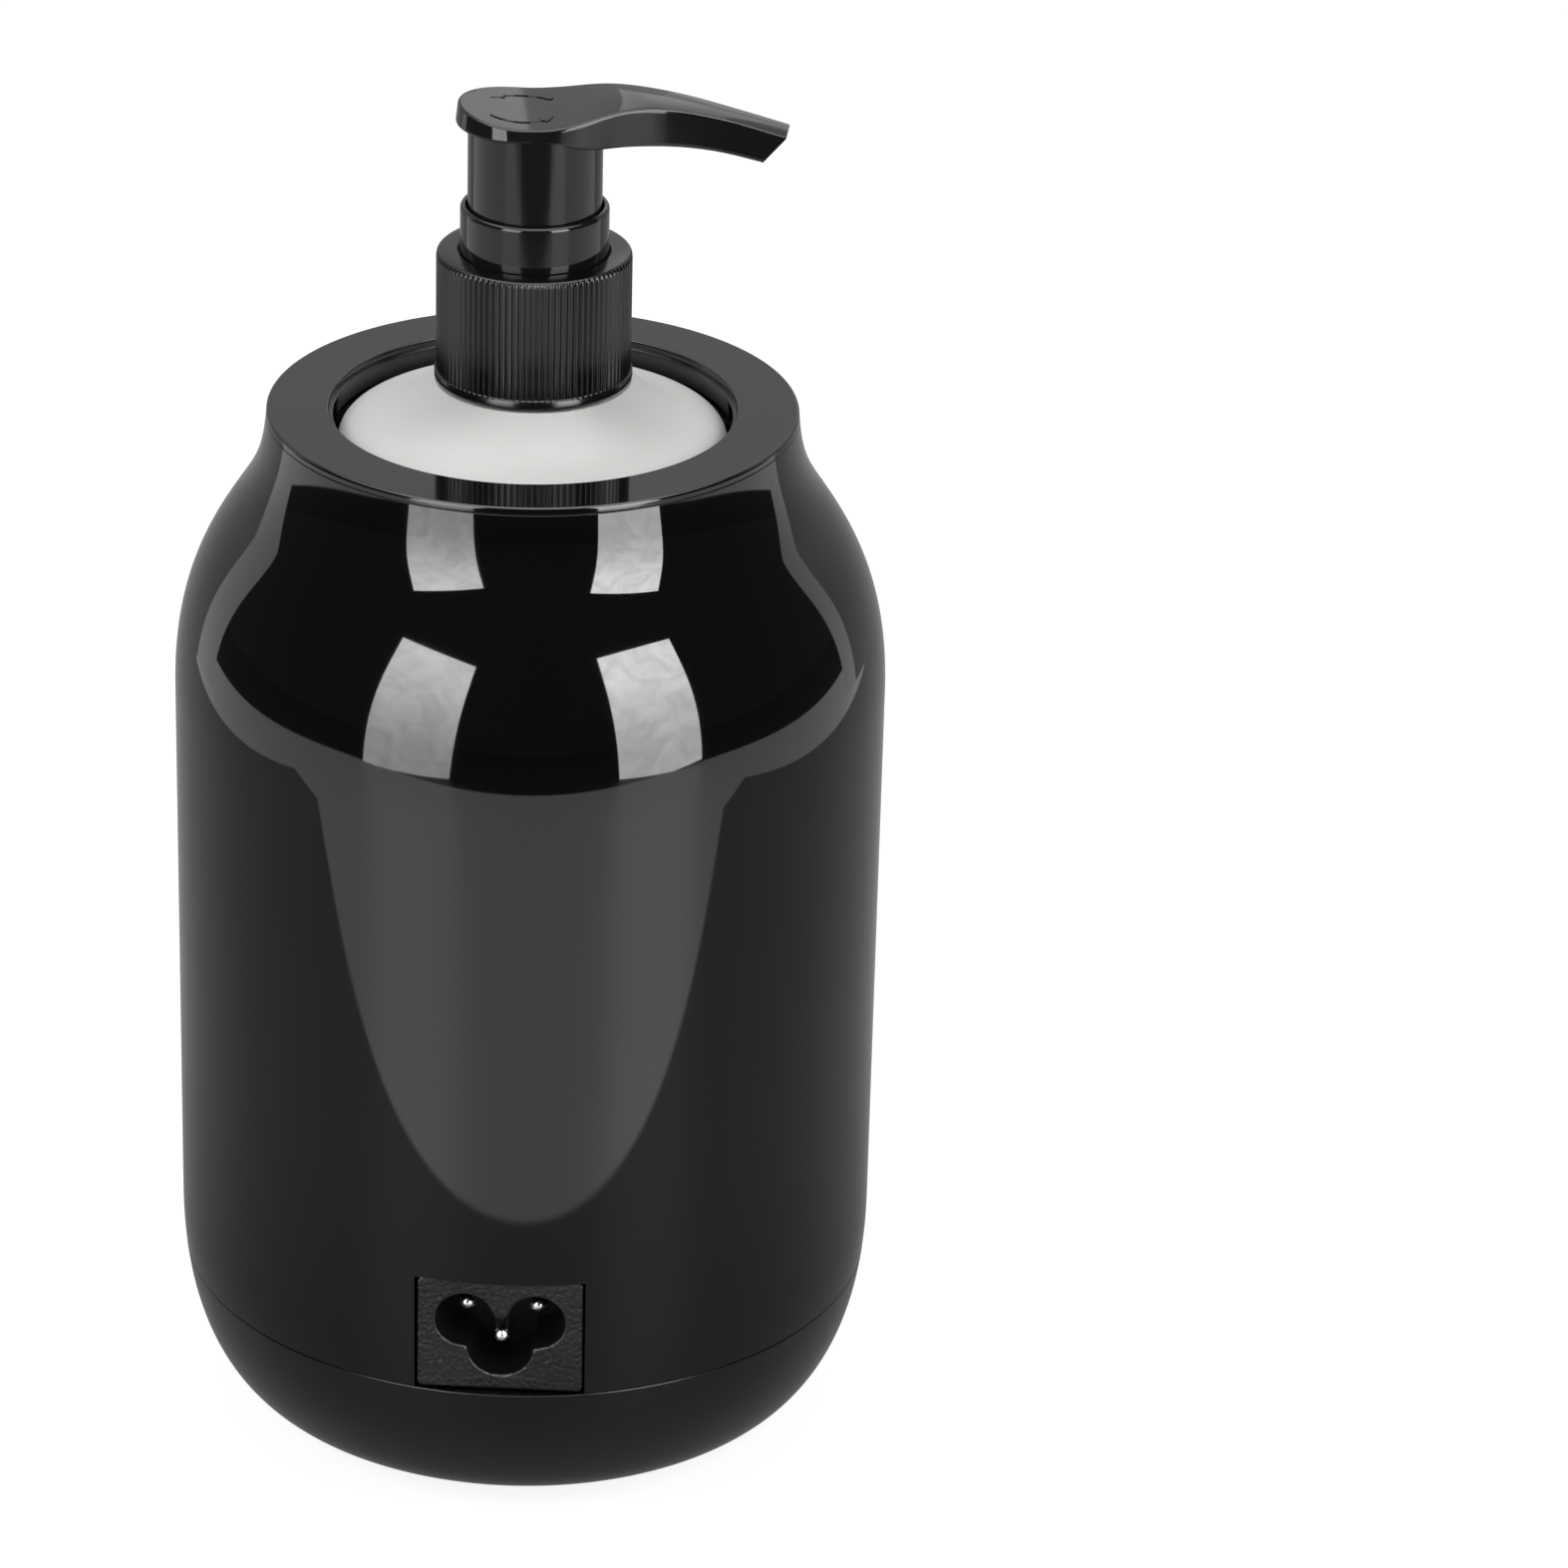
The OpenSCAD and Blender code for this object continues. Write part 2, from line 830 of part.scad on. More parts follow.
// Control panel on the far side
module panel_bounds(inset) {
    intersection() {
        shell_form(inset);
        translate([-body_r, panel_back_y, base_z])
            cube([body_d, body_r, shell_h]);
    }
}

module button_places() {
    for (i = [-1 : 1])
        translate([i * button_pitch, 0, panel_z - button_down])
            children();
}

module front_panel() {
    color("#0c0c0e")
        difference() {
            union() {
                intersection() {
                    panel_bounds(0);
                    panel_block(panel_w - 2 * panel_gap, panel_h - 2 * panel_gap, panel_corner - panel_gap,
                        panel_z, panel_back_y);
                }
                intersection() {
                    panel_bounds(wall + panel_lip_gap);
                    panel_block(panel_w + 2 * panel_lip, panel_h + 2 * panel_lip, panel_corner + panel_lip,
                        panel_z, panel_back_y);
                }
                pillars(pillar_d, display_y + fit, panel_back_y + fit);
            }
            intersection() {
                panel_block(lens_w + 2 * panel_gap, lens_h + 2 * panel_gap, lens_corner,
                    panel_z + lens_up, 0);
                difference() {
                    shell_form(-over);
                    shell_form(lens_t + fit);
                }
            }
            panel_block(lens_w - 2 * lens_ledge, lens_h - 2 * lens_ledge, lens_corner, panel_z + lens_up,
                display_y);
            button_places()
                rod_y(button_d / 2 + free, panel_back_y - over, body_d);
            pillars(small_screw_d + 2 * fit, display_y, display_y + small_bite);
        }
}

module pillars(d, y0, y1) {
    for (x = [-1, 1], z = [-1, 1])
        translate([x * pillar_x, 0, panel_z + z * pillar_z])
            rod_y(d / 2, y0, y1);
}

module display_lens() {
    color("#2b2d33")
        difference() {
            intersection() {
                shell_form(0);
                panel_block(lens_w, lens_h, lens_corner - panel_gap, panel_z + lens_up, panel_back_y);
            }
            shell_form(lens_t);
        }
}

module display_board() {
    color("#1f6b3a")
        difference() {
            translate([-display_w / 2, display_y - pcb_t, panel_z - display_h / 2])
                cube([display_w, pcb_t, display_h]);
            pillars(small_screw_d + 2 * free, display_y - pcb_t - over, display_y + over);
        }
}

module display_module() {
    color("#3c3f46")
        translate([-display_block[0] / 2, display_y, panel_z + lens_up - display_block[2] / 2])
            cube(display_block);
}

module tact_switches() {
    color("#55585e")
        button_places() {
            translate([-switch_size[0] / 2, display_y, -switch_size[2] / 2])
                cube(switch_size);
            rod_y(switch_plunger_d / 2, display_y + switch_size[1] - fit,
                display_y + switch_size[1] + switch_plunger_h);
        }
}

module panel_screws() {
    color("silver")
        for (x = [-1, 1], z = [-1, 1])
            translate([x * pillar_x, display_y - pcb_t - fit, panel_z + z * pillar_z])
                rotate([-90, 0, 0])
                    screw(small_screw_d, small_head_d, small_head_h, pcb_t + small_bite - 0.4);
}

// Flat lead from the display board down to the control board's header
module display_ribbon() {
    back_y = display_y - pcb_t;
    low_z = board_top_z + header_h;
    top_z = panel_z - display_h / 2;
    in_y = board_l / 2 - header_l;
    color("#9aa0a6")
        translate([ribbon_w / 2, 0, 0])
            rotate([90, 0, -90])
                linear_extrude(ribbon_w)
                    mirror([1, 0])
                        polygon([[in_y, low_z],
                            [back_y + ribbon_t, low_z],
                            [back_y + ribbon_t, top_z],
                            [back_y, top_z],
                            [back_y, low_z + ribbon_t],
                            [in_y, low_z + ribbon_t]]);
}

// Buttons, flush with the body, each with a flange behind the panel
module button(place) {
    translate([place * button_pitch, 0, panel_z - button_down])
        rod_y(button_d / 2 + free + button_flange, button_back_y, button_back_y + button_flange_t);
    intersection() {
        shell_form(0);
        translate([place * button_pitch, 0, panel_z - button_down])
            rod_y(button_d / 2, button_back_y, body_d);
    }
}

module minus_button() {
    color("#17181a")
        button(1);
}

module power_button() {
    color("#17181a")
        button(0);
}

module plus_button() {
    color("#17181a")
        button(-1);
}

// Bottle
module bottle() {
    color("#e9e9e6")
        difference() {
            bottle_form(bottle_r, bottle_z, neck_foot_z, neck_r, shoulder_top_r, neck_top_z, bottle_edge);
            bottle_form(bottle_r - bottle_wall, bottle_z + bottle_wall, neck_foot_z - bottle_wall, neck_in,
                neck_in + over, neck_top_z + over, bottle_edge - bottle_wall);
        }
}

module bottle_form(r, z0, foot_z, neck, turn_r, top_z, edge) {
    side_top_z = foot_z - bottle_shoulder;
    rotate_extrude()
        polygon(concat(
            [[0, z0]],
            arc([r - edge, z0 + edge], edge, -90, 0, 6),
            curve([r, side_top_z], [r, side_top_z + 0.7 * bottle_shoulder],
                [turn_r + 0.5 * (r - turn_r), foot_z], [turn_r, foot_z]),
            [[neck, foot_z], [neck, top_z], [0, top_z]]));
}

// Closure and pump
module collar() {
    root_r = rib_r - rib_depth;
    step = 360 / rib_count;
    crest = [for (i = [0 : rib_count - 1]) each [
        rib_r * [cos(i * step), sin(i * step)],
        rib_r * [cos((i + 0.4) * step), sin((i + 0.4) * step)],
        root_r * [cos((i + 0.7) * step), sin((i + 0.7) * step)]]];
    color("#1a1a1c")
        difference() {
            union() {
                translate([0, 0, collar_z + collar_band])
                    linear_extrude(collar_h - collar_band)
                        polygon(crest);
                translate([0, 0, collar_z])
                    cylinder(r = collar_r, h = collar_band);
            }
            translate([0, 0, collar_z - over])
                cylinder(r = collar_in_r, h = collar_h - collar_web + over);
            translate([0, 0, collar_z])
                cylinder(r = lock_r + free, h = collar_h + over);
        }
}

module lock_ring() {
    color("#111113")
        rotate_extrude()
            polygon(concat(
                [[stem_r + free, lock_under_z],
                    [lock_tube_r, lock_under_z],
                    [lock_tube_r, lock_flange_z],
                    [lock_flange_r, lock_flange_z],
                    [lock_flange_r, lock_flange_z + lock_flange_t],
                    [lock_r, lock_flange_z + lock_flange_t]],
                arc([lock_r - lock_edge / 2, lock_top_z - lock_edge / 2], lock_edge / 2, 0, 90, 6),
                [[lock_in_r, lock_top_z],
                    [lock_in_r, lock_floor_z],
                    [stem_r + free, lock_floor_z]]));
}

module neck_gasket() {
    color("#f2efe6")
        tube(neck_r, neck_in, neck_top_z, neck_top_z + gasket_t);
}

module pump_cylinder() {
    nipple_z = tube_top_z + nipple_web - nipple_len;
    color("#ececea")
        rotate_extrude()
            polygon([[barrel_in_r, barrel_top_z],
                [barrel_r, barrel_top_z],
                [barrel_r, barrel_floor_z],
                [nipple_r, barrel_floor_z - seat_h - nipple_web],
                [nipple_r, nipple_z],
                [tube_r + fit, nipple_z],
                [tube_r + fit, tube_top_z],
                [seat_low_r, tube_top_z],
                [seat_low_r, barrel_floor_z - seat_h],
                [seat_top_r, barrel_floor_z],
                [barrel_in_r, barrel_floor_z]]);
}

module dip_tube() {
    color("#f4f4f2")
        tube(tube_r, tube_r - tube_wall, tube_z, tube_top_z - fit);
}

module valve_ball() {
    color("silver")
        translate([0, 0, ball_z])
            sphere(r = ball_r);
}

module piston() {
    color("#f7f7f5")
        tube(barrel_in_r - running, stem_r + running, piston_z, piston_top_z);
}

// Helical spring, one tube of six sides with flat-cut ends
module pump_spring() {
    ring_steps = 12;
    sides = 6;
    wire_r = spring_wire / 2;
    rings = spring_turns * ring_steps;
    low_z = spring_z + wire_r;
    rise = spring_len - spring_wire;
    points = [for (i = [0 : rings], k = [0 : sides - 1])
        let (a = 360 * i / ring_steps, b = 360 * k / sides, r = spring_mean_r + wire_r * cos(b))
        [r * cos(a), r * sin(a), low_z + rise * i / rings + wire_r * sin(b)]];
    skin = [for (i = [0 : rings - 1], k = [0 : sides - 1]) each
        let (p = i * sides + k, q = i * sides + (k + 1) % sides)
        [[p, q, q + sides], [p, q + sides, p + sides]]];
    caps = [for (k = [1 : sides - 2]) each
        [[0, k + 1, k], [rings * sides, rings * sides + k, rings * sides + k + 1]]];
    color("#c4c7cb")
        polyhedron(points, concat(skin, caps));
}

module stem() {
    color("#f0f0ee")
        difference() {
            union() {
                translate([0, 0, stem_foot_z])
                    cylinder(r = stem_r, h = stem_top_z - stem_foot_z);
                translate([0, 0, stem_foot_z])
                    cylinder(r = stem_foot_r, h = stem_foot_t);
            }
            translate([0, 0, piston_z])
                cylinder(d = stem_bore, h = stem_top_z - piston_z + over);
        }
}

// Pump head: the plan's outline carried up, cut by the side view's outline
module pump_head() {
    color("#0f0f11")
        rotate(spout_turn)
            difference() {
                union() {
                    intersection() {
                        translate([0, 0, plate_z - spout_reach])
                            linear_extrude(2 * spout_reach)
                                polygon(head_plan());
                        rotate([90, 0, 0])
                            translate([0, 0, -2 * plate_r])
                                linear_extrude(4 * plate_r)
                                    polygon(head_side());
                    }
                    tube(skirt_r, skirt_r - skirt_wall, skirt_z, plate_z - plate_t + fit);
                    translate([0, 0, plate_z - block_drop])
                        cylinder(r = block_r, h = block_drop - plate_t + fit);
                    translate([0, 0, plate_z - plate_t - socket_len])
                        cylinder(r = socket_r, h = socket_len + fit);
                }
                translate([0, 0, plate_z - plate_t - socket_len - over])
                    cylinder(r = stem_r + fit, h = stem_top_z - plate_z + plate_t + socket_len + over);
                spout_duct();
            }
}

function head_side_half() = concat(
    curve([-plate_back, plate_r], [plan_pull, plate_r],
        [spout_straight_x / 2, spout_half_w + plan_flare], [spout_straight_x, spout_half_w], 14),
    [[spout_reach + over, tip_half_w]]);

function head_plan() = let (side = head_side_half(), n = len(side) - 1) concat(
    side,
    [for (i = [n : -1 : 0]) [side[i][0], -side[i][1]]],
    [for (i = [0 : rear_steps]) let (a = 180 + rear_sweep * (0.5 - i / rear_steps))
        [rear_len * cos(a) - plate_back, plate_r * sin(a)]]);

function head_side() = let (
    rear_x = -plate_back - rear_len - over,
    rear_z = plate_z + rear_rise,
    under_x = spout_reach - tip_cut,
    under_z = plate_z - tip_drop - tip_depth,
    root_z = plate_z - spout_root_drop)
    concat(
        curve([rear_x, rear_z], [rear_x + rear_pull, rear_z - rear_fall],
            [-rear_ease, plate_z], [0, plate_z], 8),
        curve([0, plate_z], [0.4 * hump_x, plate_z],
            [0.6 * hump_x, plate_z + hump_rise], [hump_x, plate_z + hump_rise], 10),
        curve([hump_x, plate_z + hump_rise], [hump_x + hump_pull, plate_z + hump_rise],
            [spout_reach - tip_pull, plate_z - tip_drop + tip_lift], [spout_reach, plate_z - tip_drop], 12),
        curve([under_x, under_z], [under_x - under_pull, under_z + under_rise],
            [under_x - root_pull, root_z - root_dip], [skirt_r, root_z], 10),
        curve([skirt_r, root_z], [skirt_r - under_ease, root_z],
            [under_ease, plate_z - plate_t], [-plate_back, plate_z - plate_t], 8),
        [[rear_x, plate_z - plate_t]]);

// The way of the oil: up from the stem, along under the hump, then down the spout
module spout_duct() {
    start = [0, 0, plate_z - duct_rise];
    knee = [hump_x, 0, plate_z + hump_rise - hump_x_cover];
    tip = [spout_reach - tip_cut / 2, 0, plate_z - tip_drop - tip_depth / 2];
    translate([0, 0, stem_top_z - fit])
        cylinder(d = stem_bore, h = plate_z - duct_rise - stem_top_z + stem_bore / 2);
    bore(start, knee + (knee - start) * duct_overlap, nozzle_d + duct_step);
    bore(knee, tip + (tip - knee) * duct_overlap * 4, nozzle_d);
}

// A bore in the XZ plane from one point to another
module bore(from, to, d) {
    way = to - from;
    translate(from)
        rotate([0, atan2(way[0], way[2]), 0])
            cylinder(d = d, h = norm(way));
}

housing();
base_pan();
rubber_feet();
base_screws();
top_ring();
heating_cup();
heater_band();
insulation_sleeve();
temperature_sensor();
thermal_fuse();
control_board();
power_module();
relay();
terminal_block();
board_screws();
inlet_body();
inlet_pins();
mains_leads();
heater_leads();
front_panel();
display_lens();
display_board();
display_module();
tact_switches();
panel_screws();
display_ribbon();
power_button();
plus_button();
minus_button();
bottle();
lock_ring();
neck_gasket();
pump_cylinder();
dip_tube();
valve_ball();
collar();
piston();
pump_spring();
stem();
pump_head();
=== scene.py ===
"""Massage oil warmer: the looks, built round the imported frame.

The warmer's lengths are written in millimetres, and the studio's in metres.
"""
import math

import bmesh
import bpy
import numpy as np
from mathutils import Matrix, Vector
from mathutils.geometry import tessellate_polygon


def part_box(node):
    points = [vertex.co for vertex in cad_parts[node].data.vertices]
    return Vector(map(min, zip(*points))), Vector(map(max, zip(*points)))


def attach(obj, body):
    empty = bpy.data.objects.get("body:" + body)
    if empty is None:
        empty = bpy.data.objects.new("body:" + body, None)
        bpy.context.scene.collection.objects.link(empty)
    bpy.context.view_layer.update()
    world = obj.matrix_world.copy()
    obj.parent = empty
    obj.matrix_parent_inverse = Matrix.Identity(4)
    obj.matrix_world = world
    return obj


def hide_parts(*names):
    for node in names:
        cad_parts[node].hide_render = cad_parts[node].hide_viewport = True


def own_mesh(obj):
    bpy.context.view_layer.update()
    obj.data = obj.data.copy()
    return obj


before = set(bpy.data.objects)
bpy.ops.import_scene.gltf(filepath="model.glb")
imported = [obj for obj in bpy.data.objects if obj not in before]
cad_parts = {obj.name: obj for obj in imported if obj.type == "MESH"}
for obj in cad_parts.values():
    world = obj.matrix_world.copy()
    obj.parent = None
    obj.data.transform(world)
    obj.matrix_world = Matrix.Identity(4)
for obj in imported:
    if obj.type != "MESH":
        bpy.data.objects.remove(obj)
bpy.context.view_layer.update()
scene = bpy.context.scene
MM = 0.001

# Body
BODY_R, WALL_DRAFT, WALL, BODY_SIDES = 50.0, 0.2, 2.4, 256
BASE_Z, BASE_FLAT_R, BASE_CURVE_TOP = 1.2, 38.3, 29.9
SEAM_Z, SEAM_GAP, SEAM_EDGE = 21.9, 0.1, 0.12
SHOULDER_Z, SHOULDER_FULL, HOLLOW_FULL = 110.1, 23.69, 9.78
LEDGE_R, LEDGE_IN_R, LEDGE_Z, LEDGE_TOP_Z = 34.7, 32.3, 143.6, 145.2
RIM_R, RIM_IN_R, RIM_TOP_Z, RIM_FOOT = 47.0, 45.6, 24.9, 2.0

# The neck's hollow leaves the shoulder's curve at NECK_SHARE of its length, and leans in a little at its top
NECK_SHARE = 0.634
NECK_CURVE = [(41.019175, 137.996118), (38.254445, 142.162203), (37.371, 145.218), (36.9, 151.2)]

# Ring round the mouth
RING_R, RING_EDGE, RING_SEAT_Z, RING_SEAM_Z, RING_TOP_Z = 37.1, 0.42, 147.7, 150.3, 151.4
MOUTH_R, MOUTH_STEP_R, MOUTH_STEP_Z = 27.7, 28.25, 150.4
RING_ROOT_R, RING_ROOT_IN_R, RING_ROOT_Z = 34.4, 32.85, 146.4

# Underside
SCREW_WELL_R, SCREW_WELL_TOP_Z, SCREW_REACH = 3.05, 7.6, 40.0
FOOT_WELL_R, FOOT_R, FOOT_TOP_Z, FOOT_REACH = 5.55, 5.5, 2.0, 29.0
WELL_LIMIT_R = 41.2

# Inlet
INLET_W, INLET_Z, INLET_TOP_Z, INLET_CORNER = 23.3, 22.15, 39.55, 0.9
INLET_FACE_Y, INLET_GAP, RECESS = -47.9, 0.3, 9.5
INLET_EDGE, INLET_LIP = 0.35, 0.3
FLANGE_T, INLET_BACK, INLET_BACK_IN = 2.2, 11.5, 1.0
NOTCH_HALF_W, NOTCH_TOP_Z = 12.2, 30.0
LINE_PIN_Z, EARTH_PIN_Z, PIN_X = 32.95, 28.95, 5.0
LINE_LOBE_R, EARTH_LOBE_R = 4.1, 4.6

# Control panel
PANEL_W, PANEL_H, PANEL_CORNER, PANEL_Z = 31.0, 44.0, 5.0, 70.0
BUTTON_Z, BUTTON_PITCH = 59.6, 10.0
SIGN_LEN, SIGN_W, SIGN_CORNER, SIGN_SINK, SIGN_RISE = 2.6, 0.36, 0.12, 0.15, 0.03

# Bottle
BOTTLE_R, BOTTLE_IN_R, BOTTLE_Z, BOTTLE_FLOOR_Z = 27.13, 25.8, 20.25, 21.45
NECK_FOOT_Z, NECK_R, NECK_BORE_R, NECK_TOP_Z = 155.65, 11.5, 10.4, 171.15
THREAD_R, THREAD_RISE, THREAD_Z, THREAD_PITCH, THREAD_TURNS = 11.45, 0.6, 163.0, 3.175, 1.6

# Pump
COLLAR_R, COLLAR_BORE_R, COLLAR_EYE_R = 13.7, 12.25, 10.5
COLLAR_Z, COLLAR_CAP_Z, COLLAR_TOP_Z = 156.15, 173.25, 174.45
RIB_R, RIB_COUNT, RIB_DEPTH, RIB_Z, RIB_TOP_Z = 13.5, 96, 0.24, 157.42, 173.55
LOCK_R, LOCK_BORE_R, LOCK_EYE_R, LOCK_PLUG_R, LOCK_FLANGE_R = 10.25, 9.5, 3.45, 10.2, 12.0
LOCK_Z, LOCK_FLOOR_Z, LOCK_FLANGE_Z, LOCK_STEP_Z, LOCK_TOP_Z = 166.3, 168.5, 172.0, 173.2, 181.1
COIL_R, WIRE_R, COIL_TURNS, PUMP_TRAVEL = 4.4, 0.45, 8, 10.0
SKIRT_R, SKIRT_WALL, SKIRT_EDGE, SKIRT_Z, SKIRT_MID_Z, SKIRT_SINK = 9.25, 1.05, 0.12, 179.1, 186.0, 0.25
SOCKET_R, SOCKET_IN_R, SOCKET_Z, SOCKET_TOP_Z = 4.4, 3.25, 179.4, 193.0

# Pump head
PLATE_Z, PLATE_BACK, PLATE_R, PLATE_T, REAR_LEN, REAR_RISE = 194.75, 2.4, 9.25, 1.75, 8.5, 1.2
HUMP_X, HUMP_Z = 13.0, 196.42
TIP_X, TIP_Z, TIP_CUT, TIP_UNDER_Z, TIP_HALF_W = 34.4, 191.6, 3.0, 187.88, 2.8
SPOUT_ROOT_Z, SPOUT_HALF_W, SPOUT_STRAIGHT_X = 191.2, 4.2, 17.0
TIP_SLANT, SPOUT_CROWN, BORE_R, BORE_DEPTH, BORE_CLEAR = 0.149, 0.2, 1.05, 7.0, 4.0
HEAD_UNDER_EDGE, HEAD_TOP_EDGE, HEAD_REAR_X, TIP_CUT_FROM_X = 0.3, 0.45, -20.0, 14.0
ARC_X, ARC_R, ARC_HALF_W, ARROW_HALF_W, ARC_SINK, ARC_RISE = -1.9, 5.4, 0.32, 0.95, 0.3, 0.13
SPOUT_TURN = math.radians(5.7)


# Outlines
def bezier(a, b, c, d, steps, stop=1.0):
    """Points from a to d with the handles b and c, up to a share of the way."""
    t = np.linspace(0, stop, steps + 1)[:, None]
    a, b, c, d = (np.array(p, float) for p in (a, b, c, d))
    return (a * (1 - t) ** 3 + 3 * b * t * (1 - t) ** 2 + 3 * c * t ** 2 * (1 - t) + d * t ** 3).tolist()


def eased(corners, steps):
    """A closed outline of (x, y, radius) corners with each corner rounded."""
    out = []
    for i, (x, y, radius) in enumerate(corners):
        here = Vector((x, y))
        if radius <= 0:
            out.append((x, y))
            continue
        before = Vector(corners[i - 1][:2]) - here
        after = Vector(corners[(i + 1) % len(corners)][:2]) - here
        u, v = before.normalized(), after.normalized()
        half = u.angle(v) / 2
        reach = radius / math.tan(half)
        centre = here + (u + v).normalized() * (radius / math.sin(half))
        start, end = here + u * reach - centre, here + v * reach - centre
        sweep = math.atan2(start.x * end.y - start.y * end.x, start.dot(end))
        for k in range(steps + 1):
            a = sweep * k / steps
            c, s = math.cos(a), math.sin(a)
            out.append((centre.x + start.x * c - start.y * s, centre.y + start.x * s + start.y * c))
    return out


def body_outline(inset, steps):
    """(radius, height) from the underside to the ring's top, moved inwards by inset."""
    foot_r, low_z = BODY_R - WALL_DRAFT - inset, BASE_Z + inset
    side_r, ring_r = BODY_R - inset, RING_R - inset
    foot = bezier((BASE_FLAT_R, low_z), (BASE_FLAT_R + 1.7, low_z),
                  (foot_r, low_z + 5), (foot_r, BASE_CURVE_TOP), steps)
    rise = SHOULDER_Z - BASE_CURVE_TOP
    side = [[foot_r + WALL_DRAFT * k / 8, BASE_CURVE_TOP + rise * k / 8] for k in range(1, 8)]
    shoulder = bezier((side_r, SHOULDER_Z), (side_r, SHOULDER_Z + SHOULDER_FULL),
                      (ring_r, RING_SEAT_Z - HOLLOW_FULL), (ring_r, RING_SEAT_Z), 2 * steps, NECK_SHARE)
    hollow = bezier(*[(r - inset, z) for r, z in NECK_CURVE], steps)
    return foot + side + shoulder[:-1] + hollow


BODY_LINE = np.array(body_outline(0, 400))


def body_r(z):
    """The body's outer radius at a height."""
    return float(np.interp(z, BODY_LINE[:, 1], BODY_LINE[:, 0]))


def between(outline, low, high):
    """The part of an outline from one height to another, with its ends cut square."""
    line, margin = np.array(outline), 0.05
    ends = [[float(np.interp(z, line[:, 1], line[:, 0])), z] for z in (low, high)]
    return ends[:1] + [p for p in outline if low + margin < p[1] < high - margin] + ends[1:]


# Mesh building
def polar(r, a, *z):
    """A point at a radius and an angle."""
    return (r * math.cos(a), r * math.sin(a), *z)


def lathe(profile, sides):
    """Points and faces of a closed outline of (radius, height) turned about Z."""
    points, faces, rows = [], [], []
    for r, z in profile:
        if r < 1e-6:
            rows.append([len(points)])
            points.append((0.0, 0.0, z))
        else:
            rows.append(list(range(len(points), len(points) + sides)))
            points += [polar(r, 2 * math.pi * k / sides, z) for k in range(sides)]
    for low, high in zip(rows, rows[1:] + rows[:1]):
        if len(low) == 1 and len(high) == 1:
            continue
        for k in range(sides):
            n = (k + 1) % sides
            loop = [low[k % len(low)], low[n % len(low)], high[n % len(high)], high[k % len(high)]]
            faces.append([p for i, p in enumerate(loop) if p not in loop[:i]])
    return points, faces


def joined(*shells):
    """Several shells as one."""
    points, faces = [], []
    for more, skin in shells:
        faces += [[i + len(points) for i in face] for face in skin]
        points += more
    return points, faces


def moved(shell, to=(0, 0, 0), turn=0.0):
    """A shell turned about Z, then carried to its place."""
    c, s = math.cos(turn), math.sin(turn)
    return [(x * c - y * s + to[0], x * s + y * c + to[1], z + to[2]) for x, y, z in shell[0]], shell[1]


def prism(outline, low, high, place):
    """An outline carried from low to high; place turns (u, v, height) into a point."""
    n = len(outline)
    points = [place(u, v, h) for h in (low, high) for u, v in outline]
    faces = [[k, (k + 1) % n, n + (k + 1) % n, n + k] for k in range(n)]
    return points, faces + [list(range(n))[::-1], list(range(n, 2 * n))]


def skinned(rings, around, closed):
    """Faces between rings of points that follow one another, back to the first ring if closed."""
    faces = []
    for i in range(rings if closed else rings - 1):
        low, high = i * around, (i + 1) % rings * around
        for k in range(around):
            n = (k + 1) % around
            faces.append([low + k, low + n, high + n, high + k])
    return faces


def bare(name, shell):
    """A piece made from a shell, with doubled points joined and its faces turned outwards."""
    mesh = bpy.data.meshes.new(name)
    mesh.from_pydata([tuple(c * MM for c in p) for p in shell[0]], [], shell[1])
    form = bmesh.new()
    form.from_mesh(mesh)
    bmesh.ops.remove_doubles(form, verts=form.verts, dist=2e-7)
    bmesh.ops.recalc_face_normals(form, faces=form.faces)
    form.to_mesh(mesh)
    form.free()
    obj = bpy.data.objects.new(name, mesh)
    scene.collection.objects.link(obj)
    return obj


def applied(obj):
    """Makes a piece's modifiers part of its mesh."""
    bpy.context.view_layer.update()
    result = bpy.data.meshes.new_from_object(obj.evaluated_get(bpy.context.evaluated_depsgraph_get()))
    obj.modifiers.clear()
    obj.data = result


def cut(obj, *shells):
    """Takes each shell out of the piece."""
    for shell in shells:
        tool = bare("cutter", shell)
        change = obj.modifiers.new("cut", "BOOLEAN")
        change.operation, change.solver, change.object = "DIFFERENCE", "EXACT", tool
        applied(obj)
        bpy.data.objects.remove(tool)


def smooth(obj, sharp=35):
    """Smooth shading in which the flats stay flat and the rounded edges take the turn."""
    obj.data.shade_smooth()
    obj.data.set_sharp_from_angle(angle=math.radians(sharp))
    even = obj.modifiers.new("even", "WEIGHTED_NORMAL")
    even.keep_sharp = True
    applied(obj)


def smooth_body(obj):
    """Smooth shading whose normals on the outer skin follow the true outline, also beside a cut edge."""
    smooth(obj)
    mesh, skin_depth, same_side = obj.data, 0.03, 0.97
    slope = np.gradient(BODY_LINE[:, 0], BODY_LINE[:, 1] + np.arange(len(BODY_LINE)) * 1e-9)
    normals = [Vector(c.vector) for c in mesh.corner_normals]
    for face in mesh.polygons:
        for corner in face.loop_indices:
            p = mesh.vertices[mesh.loops[corner].vertex_index].co / MM
            r = math.hypot(p.x, p.y)
            if p.z < SEAM_Z - RIM_FOOT or abs(r - body_r(p.z)) > skin_depth:
                continue
            fall = float(np.interp(p.z, BODY_LINE[:, 1], slope))
            true = Vector((p.x / r, p.y / r, -fall)).normalized()
            if face.normal.dot(true) > same_side:
                normals[corner] = true
    mesh.normals_split_custom_set(normals)


def fit(obj, body, slot, material, *nodes):
    """Puts a finished piece on its body, with its finish, in place of the solids it stands for."""
    obj.data.materials.clear()
    obj.data.materials.append(material)
    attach(obj, body)
    if nodes:
        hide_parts(*nodes)


